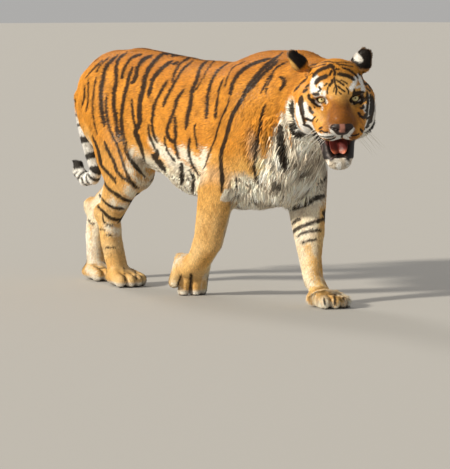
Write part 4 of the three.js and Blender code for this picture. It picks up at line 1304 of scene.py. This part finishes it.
def plantTufts(mesh):
    # roots scattered over the skin by the density of each zone, with all that a tuft needs
    mesh.calc_loop_triangles()
    corners = valuesOf(mesh.loop_triangles, "vertices", np.int32)
    points = toMillimetres(valuesOf(mesh.vertices, "co", float))
    normals = valuesOf(mesh.vertices, "normal", np.float32)
    tri = points[corners]
    area = np.linalg.norm(np.cross(tri[:, 1] - tri[:, 0], tri[:, 2] - tri[:, 0]), axis=1) / 2
    density = mixBy(zones(tri.mean(1)), "density") / 100
    count = np.floor(area * density + dice.random(len(area))).astype(int)
    owner = np.repeat(np.arange(len(area)), count)
    a, b = dice.random((2, len(owner)))
    flip = a + b > 1
    a[flip], b[flip] = 1 - a[flip], 1 - b[flip]
    share = np.stack([1 - a - b, a, b], 1)[:, :, None].astype(np.float32)
    root = (tri[owner] * share).sum(1)
    normal = rowsOf((normals[corners[owner]] * share).sum(1))
    zone = zones(root)
    way = lieOf(root, zone)
    flat = rowsOf(way - normal * (way * normal).sum(1, keepdims=True))
    side = np.cross(flat, normal)
    long = shaggy(zone)
    turn = dice.normal(0, coat["jitter"], len(root)) * (1 - coat["longCalmer"] * long)
    turn += coat["sweep"] * ripple(root, "sweep")
    turn = np.radians(turn + coat["curl"] * long * ripple(root, "curl"))[:, None]
    flat = flat * np.cos(turn) + side * np.sin(turn)
    length = mixBy(zone, "length") * dice.uniform(*coat["lengthSpread"], len(root))
    width = mixBy(zone, "width") * dice.uniform(*coat["widthSpread"], len(root))
    hang = coat["hang"] * np.maximum(zone["belly"], zone["chest"]) * ramp(normal[:, 2], *coat["hangWhere"])
    lift = mixBy(zone, "lift") + hang + dice.normal(0, coat["liftSpread"], len(root))
    return {
        "root": root, "normal": normal, "way": flat, "zone": zone, "length": length, "width": width,
        "lift": np.radians(np.maximum(coat["leastLift"], lift)),
    }


def shaggy(zone):  # how much each point belongs to the long coat
    return np.maximum.reduce([zone[name] for name in ("belly", "chest", "ruff")])


def pick(tufts, chosen):
    picked = {name: values[chosen] for name, values in tufts.items() if name != "zone"}
    picked["zone"] = {name: values[chosen] for name, values in tufts["zone"].items()}
    return picked


straightTuft = {  # shares of its length and width
    "sunk": 0.6, "widestAt": 0.3, "keel": 0.25, "tilt": 0.4, "shade": (0.66, 0.92, 0.92, 1.06),
    "faces": [(0, 3, 1), (0, 2, 3), (0, 1, 2), (3, 2, 1)], "patch": [(0, 0.5), (0.4, 1), (0.4, 0), (1, 0.5)],
}
bentTuft = {
    "sunk": 1.5, "rise": 1.4, "lay": 0.15, "stray": 0.12, "bendAt": 0.45, "crown": 0.4,
    "turn": 0.5, "tilt": 0.7,
    "shade": (0.4, 0.92, 0.92, 1.04, 1.12),
    "faces": [(0, 1, 2), (0, 2, 3), (0, 3, 1), (1, 4, 2), (2, 4, 3), (3, 4, 1)],
    "patch": [(0, 0.5), (0.5, 0), (0.5, 1), (0.5, 0.5), (1, 0.5)],
}


def straightTufts(t):
    # each a slim leaf of four faces: root, two sides and tip
    side = np.cross(t["way"], t["normal"])
    run = t["way"] * np.cos(t["lift"])[:, None] + t["normal"] * np.sin(t["lift"])[:, None]
    reach, wide = t["length"][:, None], t["width"][:, None]
    root = t["root"] - t["normal"] * straightTuft["sunk"]
    middle = root + run * reach * straightTuft["widestAt"]
    points = np.stack([root, middle - side * wide / 2, middle + side * wide / 2, root + run * reach], 1)
    points[:, 1:3] -= (t["normal"] * wide * straightTuft["keel"])[:, None]
    tilt = side * straightTuft["tilt"]
    return points, np.stack([t["normal"], t["normal"] - tilt, t["normal"] + tilt, t["normal"]], 1)


def bentTufts(t):
    # each a slim lock of six faces that rises from the skin, then lies down again
    side = np.cross(t["way"], t["normal"])
    reach, wide = t["length"][:, None], t["width"][:, None]
    low, high = (t["lift"] * bentTuft["rise"])[:, None], (t["lift"] * bentTuft["lay"])[:, None]
    stray = side * dice.normal(0, bentTuft["stray"], len(side))[:, None]
    first = t["way"] * np.cos(low) + t["normal"] * np.sin(low)
    last = t["way"] * np.cos(high) + t["normal"] * np.sin(high) + stray
    root = t["root"] - t["normal"] * bentTuft["sunk"]
    bend = root + first * reach * bentTuft["bendAt"]
    crown = bend + t["normal"] * wide * bentTuft["crown"]
    tip = bend + last * reach * (1 - bentTuft["bendAt"])
    points = np.stack([root, bend - side * wide / 2, bend + side * wide / 2, crown, tip], 1)
    middle = t["normal"] + side * dice.normal(0, bentTuft["turn"], len(side))[:, None]
    tilt = side * bentTuft["tilt"]
    return points, np.stack([middle, middle - tilt, middle + tilt, middle, middle + t["way"] * 0.2], 1)


def addCoat(name, tufts, unwrap, material):
    # one joined mesh of tufts, with the coat's colour at every point and a patch of its own for each tuft
    long = tufts["length"] > coat["longFrom"]
    points, loops, colours, places, normals = [], [], [], [], []
    start = 0
    for makeShape, form, chosen in ((straightTufts, straightTuft, ~long), (bentTufts, bentTuft, long)):
        t = pick(tufts, chosen)
        if len(t["root"]) == 0:
            continue
        corner, facing = makeShape(t)
        faces, shade, patch = (np.array(form[key]) for key in ("faces", "shade", "patch"))
        count, size = corner.shape[:2]
        points.append(corner.reshape(-1, 3))
        normals.append(rowsOf(facing.reshape(-1, 3)))
        order = (faces.ravel()[None] + (np.arange(count) * size)[:, None]).ravel()
        loops.append(order + start)
        start += count * size
        tint = t["colour"][:, None] * (shade[None, :, None] * t["tone"][:, None, None])
        colours.append(tint.reshape(-1, 3))
        home = np.clip(unwrap(t["root"]), coat["margin"], 1 - coat["margin"])
        spot = home[:, None] + (patch - 0.5)[None] * coat["patch"]
        places.append(spot.reshape(-1, 2)[order])
    points, loops = np.vstack(points), np.concatenate(loops).astype(np.int32)
    mesh = bpy.data.meshes.new(name)
    mesh.vertices.add(len(points))
    points[:, 2] = np.maximum(points[:, 2], coat["floorGap"])
    mesh.vertices.foreach_set("co", toMetres(points).astype(np.float32).ravel())
    mesh.loops.add(len(loops))
    mesh.loops.foreach_set("vertex_index", loops)
    mesh.polygons.add(len(loops) // 3)
    mesh.polygons.foreach_set("loop_start", np.arange(0, len(loops), 3, dtype=np.int32))
    mesh.update(calc_edges=True)
    mesh.normals_split_custom_set_from_vertices(np.vstack(normals).astype(np.float32))
    paint(mesh, np.vstack(colours))
    mesh.uv_layers.new(name="OFBake").uv.foreach_set("vector", np.vstack(places).astype(np.float32).ravel())
    mesh.materials.append(material)
    piece = link(name, mesh)
    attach(piece, "root")
    print(name, "made:", len(loops) // 3, "triangles")


def paint(mesh, colours):
    layer = mesh.color_attributes.new("pelt", "FLOAT_COLOR", "POINT")
    rgba = np.ones((len(mesh.vertices), 4), np.float32)
    rgba[:, :3] = np.clip(colours, 0, 1)
    layer.data.foreach_set("color", rgba.ravel())


unwraps = {  # what the coat's unwrap is measured from, millimetres
    "trunkMiddle": 620, "trunkBack": -640, "trunkLength": 1500,
    "legsAlong": (300, -400), "legsAside": (90, -100), "legHeight": 700,  # fore and hind, left and right
    "headMiddle": -40, "headBack": -210, "headLength": 350,
    "tailMiddle": (-600, 20), "tailLength": 560,
}


def turnShare(a, b):  # the angle of each point as a share of a full turn
    return np.arctan2(a, b) / (2 * pi) + 0.5


def roundTrunk(p):  # angle round the body, and distance along it
    along = (p[:, 0] - unwraps["trunkBack"]) / unwraps["trunkLength"]
    return np.stack([turnShare(p[:, 1], p[:, 2] - unwraps["trunkMiddle"]), along], 1)


def roundLegs(p):  # the left leg in one half, the right in the other
    middle = np.where(p[:, 0] > 0, *unwraps["legsAlong"])
    aside = np.where(p[:, 1] > 0, *unwraps["legsAside"])
    angle = turnShare(p[:, 1] - aside, p[:, 0] - middle)
    return np.stack([(angle + (p[:, 1] > 0)) / 2, p[:, 2] / unwraps["legHeight"]], 1)


def roundHead(p):
    q = inHead(p)
    along = (q[:, 0] - unwraps["headBack"]) / unwraps["headLength"]
    return np.stack([turnShare(q[:, 1], q[:, 2] - unwraps["headMiddle"]), along], 1)


def roundTail(p):
    place, _ = alongTail(p)
    x, y = unwraps["tailMiddle"]
    return np.stack([turnShare(p[:, 1] - y, p[:, 0] - x), place / unwraps["tailLength"]], 1)


skinLook = {"scale": 420, "relief": 0.0008, "roughness": 0.42, "gloss": 0.3}  # relief in metres
coatLook = {"scale": 900, "relief": 0.0003, "roughness": 0.62, "gloss": 0.12}
whiskerFinish = {"scale": 1500, "relief": 0.0001, "roughness": 0.4, "gloss": 0.4}
streakLook = {"detail": 3, "shade": (0.5, 1.4), "share": 0.35, "strength": 0.5}


def fineStreaks():
    # a shared effect: breaks a colour up with fine noise, and gives the relief that goes with it
    if "fineStreaks" in bpy.data.node_groups:
        return bpy.data.node_groups["fineStreaks"]
    group = bpy.data.node_groups.new("fineStreaks", "ShaderNodeTree")
    for name, kind in (("Place", "Vector"), ("Tint", "Color"), ("Scale", "Float"), ("Relief", "Float")):
        group.interface.new_socket(name, in_out="INPUT", socket_type="NodeSocket" + kind)
    for name, kind in (("Colour", "Color"), ("Normal", "Vector")):
        group.interface.new_socket(name, in_out="OUTPUT", socket_type="NodeSocket" + kind)
    given = group.nodes.new("NodeGroupInput").outputs
    streak = addNode(group, "ShaderNodeTexNoise", {
        "Detail": streakLook["detail"], "Vector": given["Place"], "Scale": given["Scale"]})
    low, high = streakLook["shade"]
    shade = addNode(group, "ShaderNodeMapRange", {
        "To Min": low, "To Max": high, "Value": streak.outputs["Fac"]})
    mix = addNode(group, "ShaderNodeMix", {
        "Factor": streakLook["share"], "A": given["Tint"], "B": shade.outputs["Result"],
    }, data_type="RGBA", blend_type="MULTIPLY")
    bump = addNode(group, "ShaderNodeBump", {
        "Strength": streakLook["strength"], "Distance": given["Relief"], "Height": streak.outputs["Fac"]})
    addNode(group, "NodeGroupOutput", {"Colour": mix.outputs["Result"], "Normal": bump.outputs["Normal"]})
    return group


def tintedMaterial(name, look):
    # colour from the mesh's own attribute, with fine streaks in colour and relief
    material, shader = newMaterial(name)
    net = material.node_tree
    tint = addNode(net, "ShaderNodeAttribute", {}, attribute_name="pelt")
    place = addNode(net, "ShaderNodeTexCoord", {})
    streaks = addNode(net, "ShaderNodeGroup", {
        "Place": place.outputs["Object"], "Tint": tint.outputs["Color"],
        "Scale": look["scale"], "Relief": look["relief"]}, node_tree=fineStreaks())
    net.links.new(streaks.outputs["Colour"], shader.inputs["Base Color"])
    net.links.new(streaks.outputs["Normal"], shader.inputs["Normal"])
    shader.inputs["Roughness"].default_value = look["roughness"]
    shader.inputs["Specular IOR Level"].default_value = look["gloss"]
    return material


eyeLook = {
    "segments": 48, "rings": 32, "radius": 18.9, "outward": 3, "down": -12,  # millimetres, degrees
    "pupil": (0.005, 0.004, 0.004), "iris": (0.80, 0.72, 0.36), "irisEdge": (0.50, 0.36, 0.12),
    "limbus": (0.012, 0.009, 0.007), "white": (0.20, 0.14, 0.11),
    "pupilReach": 0.075, "irisReach": 0.38,  # share of a right angle off the line of sight
    "bands": [  # each colour's place, past the edge of the pupil or the iris
        ("pupil", "pupilReach", 0), ("irisEdge", "pupilReach", 0.012), ("iris", "pupilReach", 0.024),
        ("iris", "irisReach", -0.02), ("irisEdge", "irisReach", 0), ("limbus", "irisReach", 0.014),
        ("white", "irisReach", 0.06)],
    "streaks": 90, "uneven": 0.02, "roughness": 0.09,
}


def addEye(name, side):
    look = headMatrix @ pose(eyeCentre(side), side * eyeLook["outward"], eyeLook["down"])
    shape = bmesh.new()
    bmesh.ops.create_uvsphere(
        shape, u_segments=eyeLook["segments"], v_segments=eyeLook["rings"], radius=eyeLook["radius"],
        matrix=look @ Matrix.Rotation(pi / 2, 4, "Y"))
    forward = (look.to_3x3() @ Vector((1, 0, 0))).normalized()
    across = (look.to_3x3() @ Vector((0, 1, 0))).normalized()
    over = forward.cross(across)
    centre = headMatrix @ Vector(eyeCentre(side))
    plan = shape.loops.layers.uv.new("sight")
    for face in shape.faces:
        for loop in face.loops:
            out = (loop.vert.co - centre).normalized()
            angle = out.angle(forward) / pi
            flat = out - forward * out.dot(forward)
            flat = flat.normalized() if flat.length > 1e-6 else across
            loop[plan].uv = (0.5 + angle * flat.dot(across), 0.5 + angle * flat.dot(over))
    movePoints(shape, [v.co[:] for v in shape.verts])
    mesh = meshOf(name, shape)
    mesh.materials.append(eyeMaterial())
    piece = link(name, mesh)
    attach(piece, "root")
    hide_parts("eye_left" if side > 0 else "eye_right")


def eyeMaterial():
    # rings of colour round the line of sight, the iris streaked outward
    if "eyeRings" in bpy.data.materials:
        return bpy.data.materials["eyeRings"]
    material, shader = newMaterial("eyeRings")
    net = material.node_tree
    plan = addNode(net, "ShaderNodeUVMap", {}, uv_map="sight").outputs["UV"]
    reach = addNode(net, "ShaderNodeVectorMath", {0: plan, 1: (0.5, 0.5, 0)}, operation="DISTANCE")
    fleck = addNode(net, "ShaderNodeTexNoise", {"Scale": eyeLook["streaks"], "Vector": plan})
    shift = addNode(net, "ShaderNodeMath", {
        0: fleck.outputs["Fac"], 1: eyeLook["uneven"], 2: reach.outputs["Value"]}, operation="MULTIPLY_ADD")
    rings = addNode(net, "ShaderNodeValToRGB", {"Fac": shift.outputs["Value"]})
    bands = rings.color_ramp.elements
    bands.remove(bands[1])
    bands[0].color = (*eyeLook["pupil"], 1)
    for name, edge, past in eyeLook["bands"]:
        place = eyeLook[edge] / 2 + past + eyeLook["uneven"] / 2  # the map's unit is half a turn
        bands.new(place).color = (*eyeLook[name], 1)
    net.links.new(rings.outputs["Color"], shader.inputs["Base Color"])
    shader.inputs["Roughness"].default_value = eyeLook["roughness"]
    return material


tongueLook = {
    "centre": (26, 0, -116), "radii": (48, 30, 8), "segments": 40, "rings": 20,  # millimetres
    "rise": 13, "level": 0.4, "groove": 6, "grooveWidth": 10, "grooveAbove": -4,
    "notch": 13, "notchFrom": (0.2, 0.9), "blunt": 0.14,  # the notch in its end, and how square the end is
    "litFrom": (0.5, 0.85),  # the share of its length where the painted shade of the back turns to the lit end
    "litSides": (0.2, 0.5), "litMiddle": 0.25,
    # the lit colour, and the painted shade at the back and in the groove
    "tint": (0.80, 0.20, 0.085), "middle": (0.13, 0.018, 0.016),
    "points": 450, "pointSize": 0.5, "grain": 0.45, "relief": 0.0006, "roughness": 0.32,
}


def addTongue():
    # a flattened ball with its edges turned up and a groove along the middle
    shape = bmesh.new()
    bmesh.ops.create_uvsphere(
        shape, u_segments=tongueLook["segments"], v_segments=tongueLook["rings"], radius=1)
    wide = tongueLook["radii"][1]
    places = np.array([vertex.co[:] for vertex in shape.verts])
    # painted light and shade: dark at the back and down the middle, bright towards the end and the raised
    # sides
    sides = ramp(np.abs(places[:, 1]), *tongueLook["litSides"])
    lit = tongueLook["litMiddle"] + (1 - tongueLook["litMiddle"]) * sides
    share = (lit * ramp(places[:, 0], *tongueLook["litFrom"]))[:, None]
    for vertex in shape.verts:
        blunt = 1 + tongueLook["blunt"] * sin(2 * atan2(vertex.co.y, vertex.co.x)) ** 2
        x, y, z = (value * size for value, size in zip(vertex.co, tongueLook["radii"]))
        end = ramp(vertex.co.x, *tongueLook["notchFrom"])
        notch = tongueLook["notch"] * end * np.exp(-(y / tongueLook["grooveWidth"]) ** 2)
        x, y = x * blunt - notch, y * blunt
        z += tongueLook["rise"] * (y / wide) ** 2 - tongueLook["rise"] * tongueLook["level"]
        groove = tongueLook["groove"] * np.exp(-(y / tongueLook["grooveWidth"]) ** 2)
        z -= groove * (z > tongueLook["grooveAbove"])
        vertex.co = Vector((x, y, z)) + Vector(tongueLook["centre"])
    bmesh.ops.transform(shape, matrix=headMatrix @ jawMatrix, verts=shape.verts)
    movePoints(shape, [v.co[:] for v in shape.verts])
    mesh = meshOf("tongue", shape)
    paint(mesh, np.array(tongueLook["middle"]) * (1 - share) + np.array(tongueLook["tint"]) * share)
    mesh.materials.append(tongueMaterial())
    piece = link("tongue", mesh)
    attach(piece, "root")
    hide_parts("tongue")


def tongueMaterial():
    # wet, with small raised points
    material, shader = newMaterial("tongue")
    net = material.node_tree
    place = addNode(net, "ShaderNodeTexCoord", {})
    grain = addNode(net, "ShaderNodeTexVoronoi", {
        "Scale": tongueLook["points"], "Vector": place.outputs["Object"]}).outputs["Distance"]
    tint = addNode(net, "ShaderNodeAttribute", {}, attribute_name="pelt")
    spread = addNode(net, "ShaderNodeMapRange", {"From Max": tongueLook["pointSize"], "Value": grain})
    mix = addNode(net, "ShaderNodeMix", {
        "Factor": tongueLook["grain"], "A": tint.outputs["Color"], "B": spread.outputs["Result"],
    }, data_type="RGBA", blend_type="MULTIPLY")
    bump = addNode(net, "ShaderNodeBump", {"Distance": tongueLook["relief"], "Height": grain})
    net.links.new(mix.outputs["Result"], shader.inputs["Base Color"])
    net.links.new(bump.outputs["Normal"], shader.inputs["Normal"])
    shader.inputs["Roughness"].default_value = tongueLook["roughness"]
    return material


whiskerLook = {
    "rows": ((-88, 4), (-97, 5), (-106, 4)),  # height of each row on the pad and how many hairs it has
    "first": (88, 50), "step": (-13, 7, 3),  # the foremost hair of a row, and from hair to hair, millimetres
    "way": {-1: (-0.62, -0.5, -0.6), 1: (-0.5, 0.62, -0.6)}, "standOff": (0.1, 0.4), "stray": 0.12,
    "length": (70, 125), "thick": 0.55, "taper": 0.8, "sides": 5, "steps": 8, "sag": 0.16,
    "tint": (0.85, 0.82, 0.76),
}


def addWhiskers(tree):
    # thin tapering hairs out of both muzzle pads, swept back and down
    shape = bmesh.new()
    (front, aside), (ahead, out, rise) = whiskerLook["first"], whiskerLook["step"]
    for side in (1, -1):
        for height, count in whiskerLook["rows"]:
            for k in range(count):
                start = Vector((front + ahead * k, side * (aside + out * k), height + rise * k))
                hit, normal, _, _ = tree.find_nearest(Vector(toMetres(headMatrix @ start)))
                way = headMatrix.to_3x3() @ Vector(whiskerLook["way"][side])
                way = (way.normalized() + normal * dice.uniform(*whiskerLook["standOff"])
                       + Vector(dice.normal(0, whiskerLook["stray"], 3))).normalized()
                reach = dice.uniform(*whiskerLook["length"]) / 1000
                addHair(shape, hit - normal * 0.001, way, reach)
    mesh = meshOf("whiskers", shape)
    paint(mesh, np.tile(np.array(whiskerLook["tint"]), (len(mesh.vertices), 1)))
    mesh.materials.append(tintedMaterial("whisker", whiskerFinish))
    piece = link("whiskers", mesh)
    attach(piece, "root")


def addHair(shape, start, way, reach):
    sides, steps = whiskerLook["sides"], whiskerLook["steps"]
    ring = bmesh.ops.create_circle(shape, segments=sides, radius=1, cap_ends=True)["verts"]
    face = ring[0].link_faces[0]
    across = way.orthogonal().normalized()
    over = way.cross(across)
    for step in range(steps + 1):
        share = step / steps
        middle = start + way * reach * share + Vector((0, 0, -1)) * whiskerLook["sag"] * reach * share ** 2
        radius = whiskerLook["thick"] / 1000 * (1 - whiskerLook["taper"] * share)
        for i, vertex in enumerate(face.verts):
            angle = 2 * pi * i / sides
            vertex.co = middle + (across * cos(angle) + over * sin(angle)) * radius
        if step < steps:
            face = bmesh.ops.extrude_discrete_faces(shape, faces=[face])["faces"][0]


def layMarkings(tree):
    # all markings by colour, as lookups of places on the skin
    spread = stroke["spread"]
    flank = onSkin(tree, flankStripes, spread["flank"])
    hindLeg = onSkin(tree, hindLegStripesAndToeShade, spread["hindLeg"])
    foreLeg = onSkin(tree, foreLegStripesAndToeShade, spread["foreLeg"])
    pale = onSkin(tree, palePatches)
    headDark = onSkin(tree, headStripesAndShade, spread["headDark"])
    headWhite = onSkin(tree, whitePatches, spread["headWhite"])
    marks = {
        "dark": markTree(flank + hindLeg + foreLeg + headDark + toOtherSide(tree, flank)
                         + toOtherLeg(tree, hindLeg, "hindRight", "hindLeft") + toOtherCheek(tree, headDark)),
        "pale": markTree(pale + toOtherSide(tree, pale)),
        "white": markTree(headWhite + toOtherCheek(tree, headWhite)),
    }
    others = {"gold": goldPatches, "grey": paintedShadePatches, "rust": brownAndShadePatches, "rim": lipEdgeHighlights}
    for name, lines in others.items():
        marks[name] = markTree(onSkin(tree, lines))
    return marks


def paintSkin(mesh, marks):
    # the coat's own markings, in the shade that shows between the tufts
    points = toMillimetres(valuesOf(mesh.vertices, "co", float))
    normals = valuesOf(mesh.vertices, "normal", np.float32)
    zone = zones(points)
    # painted shade: the skin darker under the coat, most under long hair
    under = shades["under"] - (shades["under"] - shades["underLong"]) * shaggy(zone)
    paint(mesh, peltColour(points, normals, zone, marks) * under[:, None])


def colourTufts(tufts, marks):
    # each tuft's colour from the markings at the place where it shows, and its brightness, with painted shade
    # and light in the clumps of long hair
    shown = tufts["root"] + tufts["way"] * (tufts["length"] * coat["showsAt"])[:, None]
    place = shown.astype(np.float32)
    tufts["colour"] = peltColour(place, tufts["normal"], zones(place), marks)
    long = shaggy(tufts["zone"])
    single = dice.normal(0, shades["single"], len(shown))
    tone = 1 + shades["variation"] * (single + shades["drifting"] * ripple(shown, "tone"))
    tone *= 1 + shades["shagVariation"] * long * dice.normal(-shades["shagDarker"], 1, len(shown))
    tone *= 1 + shades["grain"] * ripple(shown, "grain")
    # painted shade between the clumps of long hair, and painted light on them
    clumpShading = ripple(shown * (1, 1, 0.35), "clumpShading") + shades["clumpsLighter"]
    tone *= 1 + shades["clumpShading"] * long * clumpShading
    tufts["tone"] = np.clip(tone, *shades["range"])


coatPieces = {  # along the trunk, millimetres
    "coatHaunches": (-900, -260), "coatLoins": (-260, 30), "coatRibs": (30, 220), "coatShoulders": (220, 420),
}
chestPieces = {"from": 420, "neckAbove": 540}


def coatGroups(tufts):
    # which tufts each piece of the coat holds, and the unwrap that it uses
    zone = tufts["zone"]
    onHead, onLeg, onTail = zone["head"] > 0.5, zone["leg"] > 0.5, zone["tail"] > 0.5
    x, y, z = tufts["root"].T
    groups = {
        "coatFace": (onHead & (zone["face"] > 0.5), roundHead),
        "coatHead": (onHead & (zone["face"] <= 0.5), roundHead),
        "coatTail": (~onHead & onTail, roundTail),
    }
    for name, chosen in (("coatForeleg", x > 0), ("coatHindleg", x <= 0)):
        chosen = chosen & onLeg & ~onHead & ~onTail
        groups[name + "Left"] = (chosen & (y > 0), roundLegs)
        groups[name + "Right"] = (chosen & (y <= 0), roundLegs)
    trunk = ~onHead & ~onTail & ~onLeg
    for name, (low, high) in coatPieces.items():
        groups[name] = (trunk & (x > low) & (x <= high), roundTrunk)
    front, high = trunk & (x > chestPieces["from"]), z > chestPieces["neckAbove"]
    groups["coatChest"] = (front & ~high, roundTrunk)
    groups["coatNeck"] = (front & high, roundTrunk)
    return groups


addCamera()
addStudio()
print("camera, floor and light made")

skin = link("skin", skinMesh())
skin.data.materials.append(tintedMaterial("skin", skinLook))
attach(skin, "root")
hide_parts(*[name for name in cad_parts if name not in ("eye_left", "eye_right", "tongue")])
print("skin made:", sum(len(face.vertices) - 2 for face in skin.data.polygons), "triangles")

shape = bmesh.new()
shape.from_mesh(skin.data)
tree = BVHTree.FromBMesh(shape)
shape.free()
addEye("eyeLeft", 1)
addEye("eyeRight", -1)
addTongue()
addWhiskers(tree)
print("eyes, tongue and whiskers made")

marks = layMarkings(tree)
print("markings laid")

paintSkin(skin.data, marks)
tufts = plantTufts(skin.data)
colourTufts(tufts, marks)
print("tufts planted:", len(tufts["root"]))

coatMaterial = tintedMaterial("coat", coatLook)
for name, (chosen, unwrap) in coatGroups(tufts).items():
    addCoat(name, pick(tufts, chosen), unwrap, coatMaterial)
